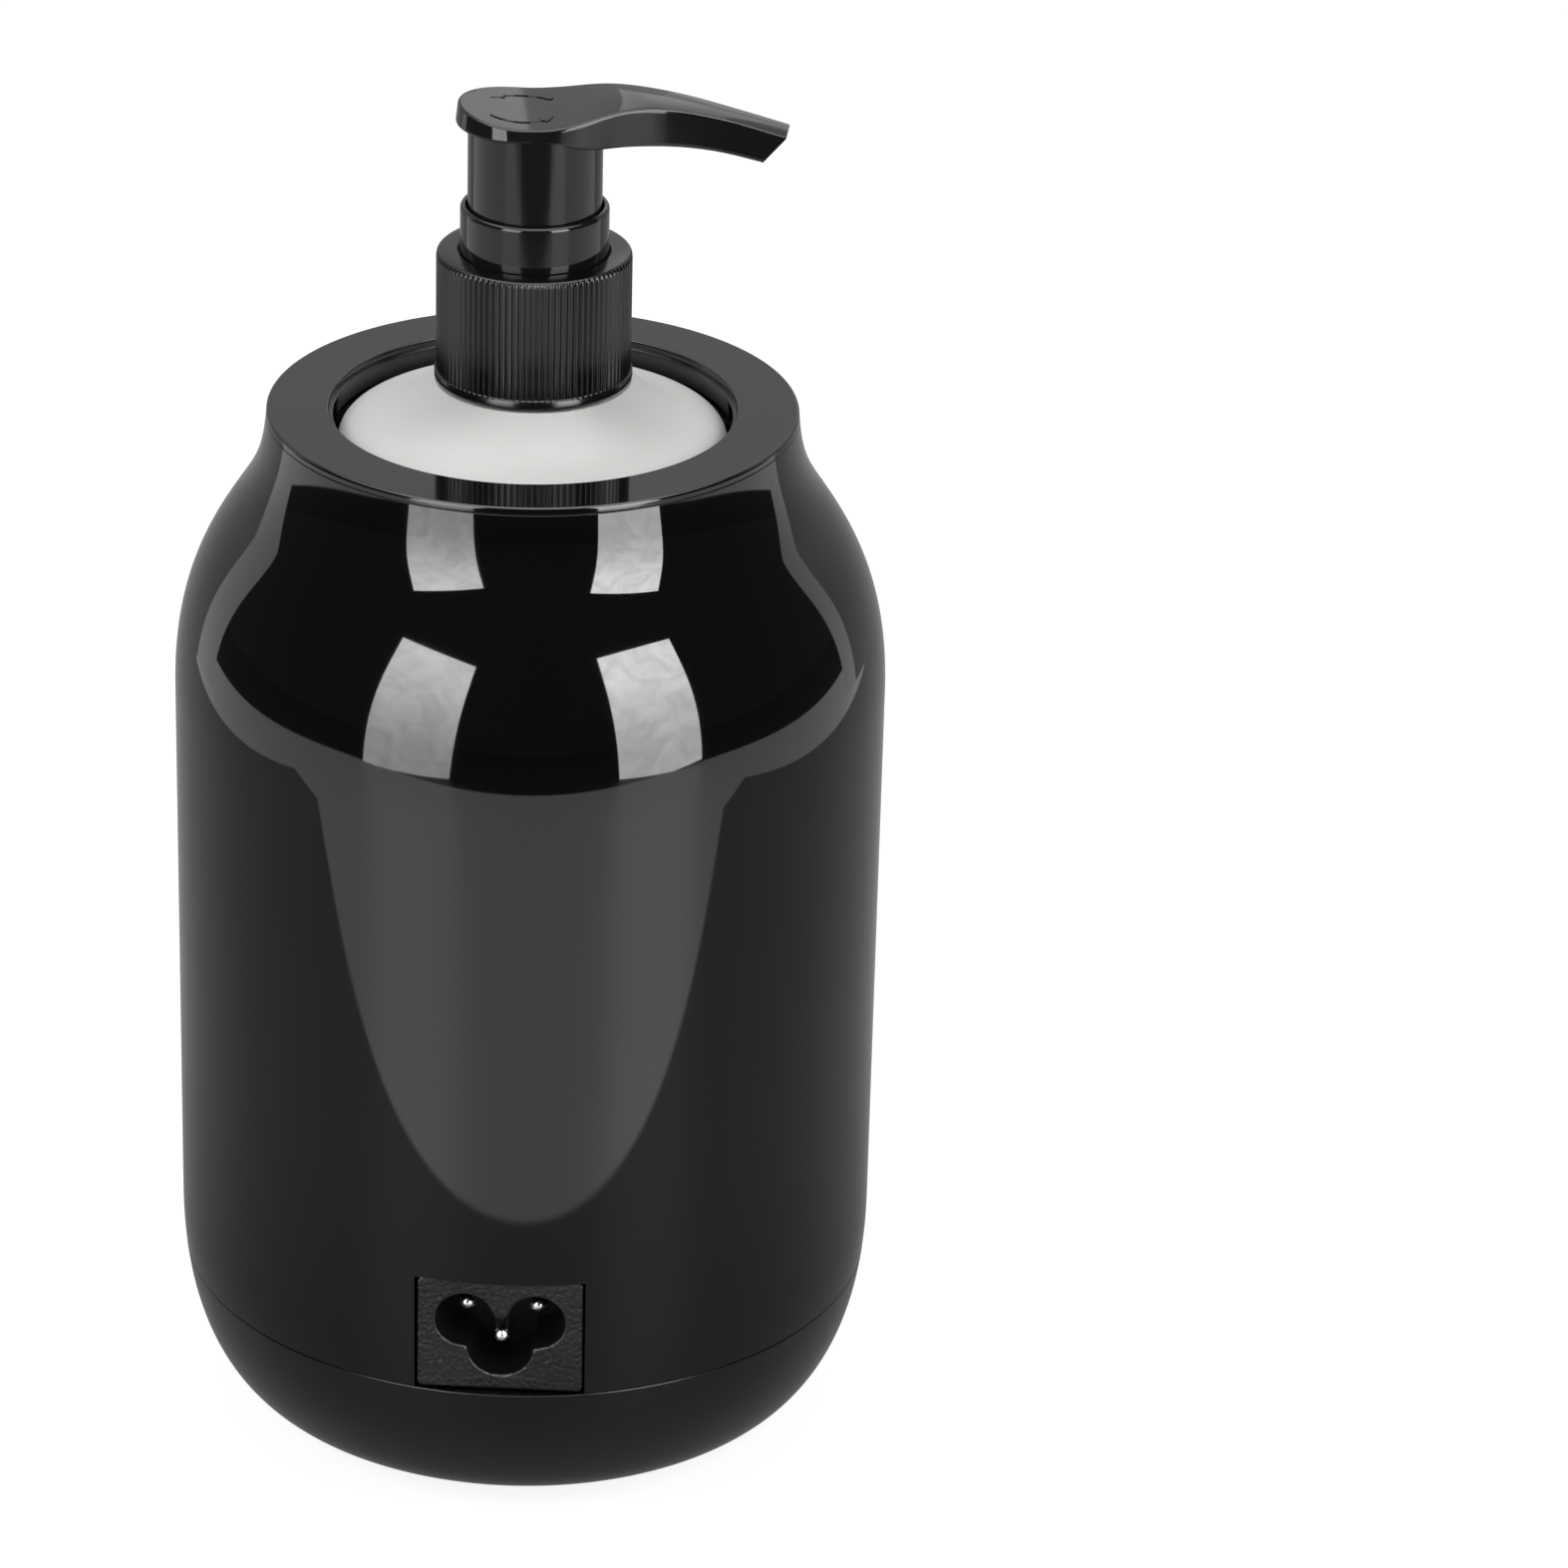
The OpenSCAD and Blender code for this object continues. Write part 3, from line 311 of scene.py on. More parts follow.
# Effects that several finishes share
def new_nodes(tree, *kinds):
    return [tree.nodes.new("ShaderNode" + kind) for kind in kinds]


def grey(v):
    return (v, v, v, 1.0)


def effect(name, inputs, outputs):
    """A node group with its sockets, its input node and its output node."""
    tree = bpy.data.node_groups.new(name, "ShaderNodeTree")
    for label, kind, default in inputs:
        tree.interface.new_socket(label, in_out="INPUT", socket_type=kind).default_value = default
    for label, kind in outputs:
        tree.interface.new_socket(label, in_out="OUTPUT", socket_type=kind)
    return tree, tree.nodes.new("NodeGroupInput"), tree.nodes.new("NodeGroupOutput")


def noise(tree, detail, scale_from, offset=0.0):
    """A noise over the piece, moved by offset so that two effects don't share their marks."""
    place, shift, cloud = new_nodes(tree, "TexCoord", "VectorMath", "TexNoise")
    shift.operation = "ADD"
    shift.inputs[1].default_value = (offset, offset * 1.7, offset * 2.3)
    cloud.inputs["Detail"].default_value = detail
    tree.links.new(place.outputs["Object"], shift.inputs[0])
    tree.links.new(shift.outputs[0], cloud.inputs["Vector"])
    tree.links.new(scale_from, cloud.inputs["Scale"])
    return cloud.outputs["Fac"]


def drift_sockets(kind, low, high):
    return [("Low", kind, low), ("High", kind, high), ("Scale", "NodeSocketFloat", 40)]


def tone_drift_effect():
    """A colour that drifts between two tones."""
    kind = "NodeSocketColor"
    tree, given, out = effect("tone_drift", drift_sockets(kind, grey(0), grey(1)), [("Color", kind)])
    mix, = new_nodes(tree, "Mix")
    mix.data_type = "RGBA"
    tree.links.new(noise(tree, 3, given.outputs["Scale"]), mix.inputs[0])
    tree.links.new(given.outputs["Low"], mix.inputs[6])
    tree.links.new(given.outputs["High"], mix.inputs[7])
    tree.links.new(mix.outputs[2], out.inputs["Color"])
    return tree


def polish_drift_effect():
    """A roughness that drifts between two values."""
    kind = "NodeSocketFloat"
    tree, given, out = effect("polish_drift", drift_sockets(kind, 0.05, 0.1), [("Roughness", kind)])
    span, = new_nodes(tree, "MapRange")
    span.inputs["From Min"].default_value, span.inputs["From Max"].default_value = 0.3, 0.7
    tree.links.new(noise(tree, 4, given.outputs["Scale"], 3.1), span.inputs["Value"])
    tree.links.new(given.outputs["Low"], span.inputs["To Min"])
    tree.links.new(given.outputs["High"], span.inputs["To Max"])
    tree.links.new(span.outputs[0], out.inputs["Roughness"])
    return tree


def grain_effect():
    """The fine relief of a moulded skin."""
    kind = "NodeSocketFloat"
    tree, given, out = effect("moulded_grain", [("Scale", kind, 900)], [("Height", kind)])
    tree.links.new(noise(tree, 2, given.outputs["Scale"], 7.7), out.inputs["Height"])
    return tree


TONE, POLISH, GRAIN = tone_drift_effect(), polish_drift_effect(), grain_effect()
POLISH_SCALE = 60.0


def finish(name, low, high, polish, grain, tone_scale=45.0, metallic=0.0, **constants):
    """A finish whose tone, polish and fine relief change over the surface.

    Low and high are its tones, polish its roughnesses, and grain the scale, strength and depth of its relief.
    """
    mat = bpy.data.materials.new(name)
    mat.use_nodes = True
    tree = mat.node_tree
    shader = tree.nodes["Principled BSDF"]
    shader.inputs["Metallic"].default_value = metallic
    for label, value in constants.items():
        shader.inputs[label.replace("_", " ")].default_value = value
    tone, shine, relief, bump = new_nodes(tree, "Group", "Group", "Group", "Bump")
    tone.node_tree, shine.node_tree, relief.node_tree = TONE, POLISH, GRAIN
    tone.inputs["Low"].default_value, tone.inputs["High"].default_value = low, high
    tone.inputs["Scale"].default_value = tone_scale
    tree.links.new(tone.outputs["Color"], shader.inputs["Base Color"])
    shine.inputs["Low"].default_value, shine.inputs["High"].default_value = polish
    shine.inputs["Scale"].default_value = POLISH_SCALE
    tree.links.new(shine.outputs["Roughness"], shader.inputs["Roughness"])
    relief.inputs["Scale"].default_value, bump.inputs["Strength"].default_value = grain[:2]
    bump.inputs["Distance"].default_value = grain[2] * MM
    tree.links.new(relief.outputs["Height"], bump.inputs["Height"])
    tree.links.new(bump.outputs["Normal"], shader.inputs["Normal"])
    return mat


gloss_black = finish("gloss_black", grey(0.0010), grey(0.0020), (0.025, 0.045), (26, 0.12, 0.05))
satin_black = finish("satin_black", grey(0.0022), grey(0.0040), (0.15, 0.22), (140, 0.1, 0.03))
ring_gloss = finish("ring_gloss", grey(0.0014), grey(0.0026), (0.04, 0.08), (40, 0.1, 0.03))
inlet_satin = finish("inlet_satin", grey(0.0035), grey(0.010), (0.3, 0.44), (1500, 1.0, 0.22),
                     tone_scale=1500.0)
# Painted shade: a darker tone and a weaker sheen than the plate's, for the shade inside the inlet's recess
inlet_recess_painted_shade = finish("inlet_recess_painted_shade", grey(0.0012), grey(0.003), (0.4, 0.55), (1800, 0.3, 0.05),
                      Specular_IOR_Level=0.15)
collar_satin = finish("collar_satin", grey(0.0035), grey(0.0060), (0.14, 0.22), (1500, 0.15, 0.02),
                      Specular_IOR_Level=0.36)
pump_gloss = finish("pump_gloss", grey(0.011), grey(0.015), (0.05, 0.09), (90, 0.1, 0.03),
                    Specular_IOR_Level=0.35)
bottle_plastic = finish("bottle_plastic", (0.79, 0.79, 0.775, 1), (0.84, 0.84, 0.825, 1), (0.34, 0.46),
                        (700, 0.12, 0.03), Subsurface_Weight=0.35, Subsurface_Radius=(0.004, 0.004, 0.0035))
cup_metal = finish("cup_metal", grey(0.20), grey(0.27), (0.24, 0.36), (500, 0.15, 0.03), metallic=1.0)
heater_foil = finish("heater_foil", (0.42, 0.10, 0.05, 1), (0.52, 0.15, 0.07, 1), (0.3, 0.42),
                     (300, 0.2, 0.05))
felt = finish("felt", (0.62, 0.57, 0.47, 1), (0.74, 0.69, 0.6, 1), (0.85, 0.95), (1800, 0.8, 0.25))
board_green = finish("board_green", (0.012, 0.10, 0.035, 1), (0.02, 0.14, 0.05, 1), (0.3, 0.42),
                     (400, 0.2, 0.04))
component_black = finish("component_black", grey(0.014), grey(0.024), (0.4, 0.55), (1500, 0.3, 0.04))
relay_blue = finish("relay_blue", (0.015, 0.08, 0.33, 1), (0.025, 0.11, 0.4, 1), (0.3, 0.4),
                    (900, 0.15, 0.03))
terminal_green = finish("terminal_green", (0.02, 0.22, 0.07, 1), (0.03, 0.28, 0.1, 1), (0.35, 0.45),
                        (900, 0.15, 0.03))
bright_steel = finish("bright_steel", grey(0.5), grey(0.62), (0.2, 0.32), (900, 0.1, 0.02), metallic=1.0)
pin_metal = finish("pin_metal", (0.80, 0.79, 0.76, 1), (0.9, 0.89, 0.87, 1), (0.2, 0.28),
                   (900, 0.08, 0.02), metallic=1.0)
wire_jacket = finish("wire_jacket", (0.30, 0.10, 0.03, 1), (0.38, 0.14, 0.05, 1), (0.4, 0.5),
                     (800, 0.15, 0.03))
rubber = finish("rubber", grey(0.018), grey(0.03), (0.7, 0.85), (1400, 0.4, 0.06))
panel_gloss = finish("panel_gloss", grey(0.0014), grey(0.0028), (0.04, 0.07), (30, 0.1, 0.03))
lens_smoke = finish("lens_smoke", grey(0.0008), grey(0.0016), (0.015, 0.03), (30, 0.05, 0.02))
button_satin = finish("button_satin", grey(0.011), grey(0.017), (0.22, 0.32), (1600, 0.2, 0.03))
sign_white = finish("sign_white", grey(0.68), grey(0.78), (0.4, 0.5), (900, 0.1, 0.02))
white_plastic = finish("white_plastic", grey(0.74), grey(0.8), (0.3, 0.4), (600, 0.12, 0.03))
gasket_foam = finish("gasket_foam", grey(0.6), grey(0.7), (0.75, 0.85), (1600, 0.4, 0.06))

KEPT_NODES = {
    cup_metal: ("heating_cup",), heater_foil: ("heater_band",), felt: ("insulation_sleeve",),
    board_green: ("control_board", "display_board"),
    component_black: ("power_module", "tact_switches", "display_module", "thermal_fuse"),
    relay_blue: ("relay",), terminal_green: ("terminal_block",),
    bright_steel: ("board_screws", "panel_screws", "base_screws", "temperature_sensor", "valve_ball"),
    pin_metal: ("inlet_pins",), wire_jacket: ("mains_leads", "heater_leads", "display_ribbon"),
    panel_gloss: ("front_panel",), lens_smoke: ("display_lens",),
    button_satin: ("power_button", "plus_button", "minus_button"),
    white_plastic: ("pump_cylinder", "dip_tube", "piston", "stem"), gasket_foam: ("neck_gasket",),
}
for material, names in KEPT_NODES.items():
    for name in names:
        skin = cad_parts[name].data.materials
        skin.clear()
        skin.append(material)


# Body pieces
CUT_REACH, INLET_CUT_Y, NOTCH_CUT_Y, PANEL_CUT_Y = 60.0, -40.0, -36.0, 36.0


def upright(u, v, h):
    """Outline in X and Y, carried along Z."""
    return (u, v, h)


def facing_back(u, v, h):
    """Outline in X and Z, carried along Y."""
    return (u, h, v)


def box(half_w, low, high):
    return [(-half_w, low), (half_w, low), (half_w, high), (-half_w, high)]


def box_outline(w, low, high, corner, steps=6):
    """A box with round corners, centred across."""
    return eased([(x, y, corner) for x, y in box(w / 2, low, high)], steps)


def make_housing():
    low, top = SEAM_Z + SEAM_GAP, RING_SEAM_Z
    outer = between(body_outline(0, 48), low + SEAM_EDGE, top - SEAM_EDGE)
    inner = between(body_outline(WALL, 24), low, top)
    foot_r, neck_r = body_r(low), body_r(top)
    lip = eased([(inner[0][0], low, 0), (foot_r, low, SEAM_EDGE), (foot_r, low + 2, 0)], 4)[:-1]
    brim = eased([(body_r(top - 2), top - 2, 0), (neck_r, top, SEAM_EDGE), (inner[-1][0], top, 0)], 4)[1:]
    ledge = [(LEDGE_R, LEDGE_TOP_Z), (LEDGE_IN_R, LEDGE_TOP_Z), (LEDGE_IN_R, LEDGE_Z), (LEDGE_R, LEDGE_Z)]
    inside = [tuple(p) for p in inner[1:-1] if p[1] < LEDGE_Z - 0.2][::-1]
    skin = lip + [tuple(p) for p in outer[1:-1]] + brim + ledge + inside
    obj = bare("housing_shell", lathe(skin, BODY_SIDES))
    window = box(INLET_W / 2 + INLET_GAP, SEAM_Z - 1.9, INLET_TOP_Z + INLET_GAP)
    panel = box_outline(PANEL_W, PANEL_Z - PANEL_H / 2, PANEL_Z + PANEL_H / 2, PANEL_CORNER)
    cut(obj, prism(window, -CUT_REACH, INLET_CUT_Y, facing_back),
        prism(panel, PANEL_CUT_Y, CUT_REACH, facing_back))
    smooth_body(obj)
    fit(obj, "warmer", "gloss_black", gloss_black, "housing")


def well(r, reach, turn, high):
    """A round recess in the underside, stopped short of the curved edge."""
    middle, outline = Vector(polar(reach, math.radians(turn))), []
    for t in np.linspace(0.05, 2 * math.pi + 0.05, 33)[:-1]:
        p = middle + Vector(polar(r, t))
        outline.append(tuple(p * min(1.0, WELL_LIMIT_R / p.length)))
    return prism(outline, 0, high, upright)


def make_base():
    outer = between(body_outline(0, 64), BASE_Z, SEAM_Z - SEAM_EDGE)
    inner = between(body_outline(WALL, 32), BASE_Z + WALL, SEAM_Z)
    rim_foot_z = SEAM_Z - RIM_FOOT
    lip = eased([(outer[-1][0], rim_foot_z, 0), (body_r(SEAM_Z), SEAM_Z, SEAM_EDGE),
                 (inner[-1][0], SEAM_Z, 0)], 4)[1:]
    skin = ([(0, BASE_Z)] + [(BASE_FLAT_R * k / 4, BASE_Z) for k in range(1, 4)]
            + [tuple(p) for p in outer[:-1]] + lip[:-1]
            + [(RIM_R, SEAM_Z), (RIM_R, RIM_TOP_Z), (RIM_IN_R, RIM_TOP_Z), (RIM_IN_R, rim_foot_z)]
            + [tuple(p) for p in inner[1:-1] if p[1] < rim_foot_z - 0.2][::-1] + [(0, BASE_Z + WALL)])
    obj = bare("base_shell", lathe(skin, BODY_SIDES))
    holes = [well(SCREW_WELL_R, SCREW_REACH, 45 + 90 * k, SCREW_WELL_TOP_Z) for k in range(4)]
    holes += [well(FOOT_WELL_R, FOOT_REACH, 90 * k, FOOT_TOP_Z) for k in range(4)]
    notch = box(NOTCH_HALF_W, SEAM_Z + 0.02, NOTCH_TOP_Z)
    cut(obj, prism(notch, -CUT_REACH, NOTCH_CUT_Y, facing_back), *holes)
    smooth_body(obj)
    fit(obj, "warmer", "satin_black", satin_black, "base_pan")


def make_feet():
    foot = lathe(eased([(0, 0, 0), (FOOT_R - 0.9, 0, 0.5), (FOOT_R, 1.0, 0.4), (FOOT_R, FOOT_TOP_Z, 0),
                        (0, FOOT_TOP_Z, 0)], 4), 48)
    turns = (0, math.pi / 2, math.pi, 1.5 * math.pi)
    obj = bare("feet", joined(*[moved(foot, polar(FOOT_REACH, a, 0)) for a in turns]))
    smooth(obj)
    fit(obj, "warmer", "rubber", rubber, "rubber_feet")


def make_ring():
    foot_z = RING_SEAM_Z + 0.06
    profile = eased([(MOUTH_R, RING_SEAT_Z, 0), (MOUTH_R, MOUTH_STEP_Z, 0.25),
                     (MOUTH_STEP_R, MOUTH_STEP_Z, 0.1), (MOUTH_STEP_R, RING_TOP_Z, 0.36),
                     (body_r(RING_TOP_Z - 0.2), RING_TOP_Z, RING_EDGE),
                     (body_r(foot_z), foot_z, 0.1), (RING_ROOT_R, foot_z, 0), (RING_ROOT_R, RING_ROOT_Z, 0),
                     (RING_ROOT_IN_R, RING_ROOT_Z, 0), (RING_ROOT_IN_R, RING_SEAT_Z, 0)], 8)
    obj = bare("mouth_ring", lathe(profile, 192))
    smooth(obj, 30)
    fit(obj, "warmer", "gloss_black", ring_gloss, "top_ring")


# Power inlet
def lobes(swell):
    """Outline of the three joined lobes, each grown by swell, with the notches between them softened."""
    count = 180
    circles = ((-PIN_X, LINE_PIN_Z, LINE_LOBE_R), (PIN_X, LINE_PIN_Z, LINE_LOBE_R),
               (0, EARTH_PIN_Z, EARTH_LOBE_R))
    middle_z = EARTH_PIN_Z + 0.9
    turns = [polar(1, 2 * math.pi * k / count) for k in range(count)]
    reach = []
    for c, s in turns:
        best = 0.0
        for x, z, r in circles:
            along, off = x * c + (z - middle_z) * s, x * s - (z - middle_z) * c
            if abs(off) < r + swell:
                best = max(best, along + math.sqrt((r + swell) ** 2 - off ** 2))
        reach.append(best)
    blend = ((-2, 1), (-1, 2), (0, 3), (1, 2), (2, 1))
    soft = [sum(reach[(k + j) % count] * w for j, w in blend) / 9 for k in range(count)]
    return [(r * c, middle_z + r * s) for r, (c, s) in zip(soft, turns)]


def make_inlet():
    points, faces = [], []

    def ring(outline, depth):
        start = len(points)
        points.extend((x, INLET_FACE_Y + depth, z) for x, z in outline)
        return list(range(start, len(points)))

    def plate(inset, depth):
        corner = INLET_CORNER - 0.6 * inset
        return ring(box_outline(INLET_W - 2 * inset, INLET_Z + inset, INLET_TOP_Z - inset, corner), depth)

    quarter = [polar(1, math.pi / 2 * k / 4) for k in range(5)]
    rows = [plate(INLET_BACK_IN, INLET_BACK), plate(INLET_BACK_IN, FLANGE_T), plate(0, FLANGE_T)]
    rows += [plate(INLET_EDGE * (1 - c), INLET_EDGE * (1 - s)) for c, s in quarter]
    hole = [ring(lobes(INLET_LIP * (1 - s)), INLET_LIP * (1 - c)) for c, s in quarter]
    hole.append(ring(lobes(0), RECESS))
    for a, b in list(zip(rows, rows[1:])) + list(zip(hole, hole[1:])):
        n = len(a)
        faces.extend([a[k], a[(k + 1) % n], b[(k + 1) % n], b[k]] for k in range(n))
    faces += [list(rows[0]), list(hole[-1])]
    flat = [[Vector((points[i][0], points[i][2], 0)) for i in loop] for loop in (rows[-1], hole[0])]
    order = rows[-1] + hole[0]
    faces.extend([order[i] for i in tri] for tri in tessellate_polygon(flat))
    obj = bare("inlet_socket", (points, faces))
    smooth(obj, 30)
    fit(obj, "warmer", "inlet_plastic", inlet_satin, "inlet_body")
    # The faces deep in the lobes' recess take the painted-shade finish
    obj.data.materials.append(inlet_recess_painted_shade)
    for face in obj.data.polygons:
        x, y, z = face.center / MM
        deep = INLET_FACE_Y + INLET_LIP + 0.01 < y < INLET_FACE_Y + RECESS + 0.1
        if deep and abs(x) < INLET_W / 2 - 1.5 and INLET_Z + 1.5 < z < INLET_TOP_Z - 1.5:
            face.material_index = 1


# Signs on the keys: power, plus and minus
def make_sign(name, body, centre_x, strokes):
    """A mark on a key, each stroke sunk a little into the key and standing just proud of it."""
    def on_key(u, v, lift):
        x, z = centre_x - u, BUTTON_Z + v
        return (x, math.sqrt((body_r(z) + lift) ** 2 - x * x), z)

    obj = bare(name, joined(*[prism(stroke, -SIGN_SINK, SIGN_RISE, on_key) for stroke in strokes]))
    smooth(obj)
    fit(obj, body, "button", sign_white)


def bar(w, h, middle=0.0):
    return box_outline(w, middle - h / 2, middle + h / 2, SIGN_CORNER, 3)


def cross(w, h):
    """A plus in one outline: two bars of length w and width h."""
    long, half, corners = w / 2, h / 2, []
    for c, s in ((1, 0), (0, 1), (-1, 0), (0, -1)):
        for x, y, r in ((long, -half, SIGN_CORNER), (long, half, SIGN_CORNER), (half, half, 0)):
            corners.append((x * c - y * s, x * s + y * c, r))
    return eased(corners, 3)


def open_ring(r, half_w, gap):
    """A ring with a gap at its top, gap degrees to each side."""
    turns = [math.radians(90 + gap + (360 - 2 * gap) * k / 40) for k in range(41)]
    return [polar(r + half_w, t) for t in turns] + [polar(r - half_w, t) for t in reversed(turns)]


# Bottle and closure
def neck_thread():
    """One ridge that winds up the neck and runs out at both ends."""
    ridge = ((0, -0.75), (THREAD_RISE, -0.25), (THREAD_RISE, 0.25), (0, 0.75))
    steps, fade = 120, 9
    points = []
    for k in range(steps + 1):
        share, grow = k / steps, min(1.0, (k + 1) / fade, (steps - k + 1) / fade)
        a, z = 2 * math.pi * THREAD_TURNS * share, THREAD_Z + THREAD_PITCH * THREAD_TURNS * share
        points += [polar(THREAD_R + out * grow, a, z + dz) for out, dz in ridge]
    return points, skinned(steps + 1, 4, False) + [[0, 1, 2, 3], [4 * steps + j for j in (3, 2, 1, 0)]]


def make_bottle():
    in_r, bore_r = BOTTLE_IN_R, NECK_BORE_R
    shoulder = bezier((BOTTLE_R, 145.4), (BOTTLE_R, 151.81), (21.86, 146.02), (13.7, NECK_FOOT_Z), 36)
    inside = bezier((in_r, 144.3), (in_r, 150.2), (20.6, 144.9), (bore_r + 0.01, 154.45), 24)
    low = eased([(0, BOTTLE_Z, 0), (BOTTLE_R, BOTTLE_Z, 3.0), (BOTTLE_R, 140, 0)], 8)[:-1]
    side = [(BOTTLE_R, z) for z in (40, 70, 100, 125)]
    neck = eased([(14, NECK_FOOT_Z, 0), (NECK_R, NECK_FOOT_Z, 0.4), (NECK_R, NECK_TOP_Z, 0.3),
                  (bore_r, NECK_TOP_Z, 0.2), (bore_r, 155, 0)], 4)[1:-1]
    floor = eased([(in_r, 40, 0), (in_r, BOTTLE_FLOOR_Z, 1.8), (0, BOTTLE_FLOOR_Z, 0)], 6)[1:]
    profile = (low + side + [tuple(p) for p in shoulder] + neck + [tuple(p) for p in inside[::-1]]
               + [(in_r, 125), (in_r, 60)] + floor)
    obj = bare("oil_bottle", joined(lathe(profile, 160), neck_thread()))
    smooth(obj)
    fit(obj, "bottle", "bottle_plastic", bottle_plastic, "bottle")


def make_collar():
    per_rib = 8
    sides = RIB_COUNT * per_rib
    middle_z, bead_top_z = 165, 157.1
    rows = [(COLLAR_BORE_R, COLLAR_Z, 0), (COLLAR_R - 0.15, COLLAR_Z, 0), (COLLAR_R, COLLAR_Z + 0.15, 0),
            (COLLAR_R, bead_top_z, 0), (RIB_R + 0.08, bead_top_z + 0.2, 0),
            (RIB_R, RIB_Z, 1), (RIB_R, middle_z, 1), (RIB_R, RIB_TOP_Z, 1),
            (RIB_R - 0.04, 173.9, 0.8), (RIB_R - 0.16, 174.2, 0.4), (RIB_R - 0.38, 174.38, 0),
            (RIB_R - 0.65, COLLAR_TOP_Z, 0), (COLLAR_EYE_R + 0.1, COLLAR_TOP_Z, 0), (COLLAR_EYE_R, 174.35, 0),
            (COLLAR_EYE_R, COLLAR_CAP_Z, 0), (COLLAR_BORE_R, COLLAR_CAP_Z, 0), (COLLAR_BORE_R, middle_z, 0)]
    points = []
    for r, z, depth in rows:
        for k in range(sides):
            wave = (0.5 - 0.5 * math.cos(2 * math.pi * k / per_rib)) ** 1.6
            points.append(polar(r - RIB_DEPTH * depth * wave, 2 * math.pi * k / sides, z))
    obj = bare("ribbed_collar", (points, skinned(len(rows), sides, True)))
    smooth(obj, 40)
    fit(obj, "closure", "collar_plastic", collar_satin, "collar")


def make_lock_ring():
    profile = eased([(LOCK_EYE_R, LOCK_Z, 0), (LOCK_PLUG_R, LOCK_Z, 0), (LOCK_PLUG_R, LOCK_FLANGE_Z, 0),
                     (LOCK_FLANGE_R, LOCK_FLANGE_Z, 0), (LOCK_FLANGE_R, LOCK_STEP_Z, 0),
                     (LOCK_R, LOCK_STEP_Z, 0), (LOCK_R, LOCK_TOP_Z, 0.58), (LOCK_BORE_R, LOCK_TOP_Z, 0.14),
                     (LOCK_BORE_R, LOCK_FLOOR_Z, 0), (LOCK_EYE_R, LOCK_FLOOR_Z, 0)], 6)
    obj = bare("lock_collar", lathe(profile, 128))
    smooth(obj, 30)
    fit(obj, "pump_insert", "pump_gloss", pump_gloss, "lock_ring")


def make_spring():
    """The return spring, which rides on the plunger's body."""
    foot_z, top_z = (corner[2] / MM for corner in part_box("pump_spring"))
    per_turn, around = 24, 10
    rings = COIL_TURNS * per_turn
    points = []
    for i in range(rings + 1):
        a, z = 2 * math.pi * i / per_turn, foot_z + WIRE_R + (top_z - foot_z - 2 * WIRE_R) * i / rings
        for k in range(around):
            out, up = polar(WIRE_R, 2 * math.pi * k / around)
            points.append(polar(COIL_R + out, a, z + up))
    ends = [list(range(around)), [around * rings + k for k in range(around)]]
    obj = bare("return_spring", (points, skinned(rings + 1, around, False) + ends))
    smooth(obj, 40)
    fit(obj, "plunger", "steel", bright_steel, "pump_spring")
    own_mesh(obj)


# Pump head: the lines of its top and its underside, seen from the side
REAR_X, PLATE_UNDER_Z = -PLATE_BACK - REAR_LEN, PLATE_Z - PLATE_T
HEAD_TOP = np.array(
    bezier((REAR_X, PLATE_Z + REAR_RISE), (-7.0, PLATE_Z + 0.54), (-4.0, PLATE_Z), (0, PLATE_Z), 30)[:-1]
    + bezier((0, PLATE_Z), (5.2, PLATE_Z), (7.8, HUMP_Z), (HUMP_X, HUMP_Z), 30)[:-1]
    + bezier((HUMP_X, HUMP_Z), (20, HUMP_Z), (27.1, TIP_Z + 2.3), (TIP_X, TIP_Z), 40))
HEAD_UNDER = np.array(
    [[HEAD_REAR_X, PLATE_UNDER_Z]]
    + bezier((-PLATE_BACK, PLATE_UNDER_Z), (3, PLATE_UNDER_Z), (6.25, SPOUT_ROOT_Z),
             (SKIRT_R, SPOUT_ROOT_Z), 24)[:-1]
    + bezier((SKIRT_R, SPOUT_ROOT_Z), (18, SPOUT_ROOT_Z - 0.4), (22, TIP_UNDER_Z + 2.75),
             (TIP_X - TIP_CUT, TIP_UNDER_Z), 30))


def head_top(x):
    return float(np.interp(x, HEAD_TOP[:, 0], HEAD_TOP[:, 1]))


def head_under(x):
    return float(np.interp(x, HEAD_UNDER[:, 0], HEAD_UNDER[:, 1]))


def ease(t):
    """0 to 1 with a soft start and end."""
    t = min(max(t, 0.0), 1.0)
    return t * t * (3 - 2 * t)


def head_side_line():
    """The plan's outline on one side, from the rear end to the corner of the tip."""
    turns = np.linspace(math.pi, math.pi / 2, 25)
    rear = [(-PLATE_BACK + REAR_LEN * math.cos(a), PLATE_R * math.sin(a)) for a in turns]
    root = (SPOUT_STRAIGHT_X, SPOUT_HALF_W)
    flank = bezier((-PLATE_BACK, PLATE_R), (6.2, PLATE_R), (10.6, SPOUT_HALF_W + 1.3), root, 44)[1:]
    spout = bezier(root, (21.5, 3.35), (27, 2.95), (TIP_X, TIP_HALF_W), 22)[1:]
    return [tuple(p) for p in rear + flank + spout]


def inset_line(side, d):
    """One side's outline moved inwards by d, a length for each point, with the tip's end left in place."""
    line = np.array(side)
    ahead = np.vstack([line[1:], line[-1:]]) - np.vstack([line[:1], line[:-1]])
    ahead[0] = (0, 1)
    out = np.stack([-ahead[:, 1], ahead[:, 0]], 1)
    out /= np.linalg.norm(out, axis=1)[:, None]
    moved_in = line - d[:, None] * out
    moved_in[0] = (line[0][0] + d[0], 0)
    moved_in[-1] = (line[-1][0], line[-1][1] - d[-1])
    moved_in[:, 1] = np.maximum(moved_in[:, 1], 0)
    return moved_in


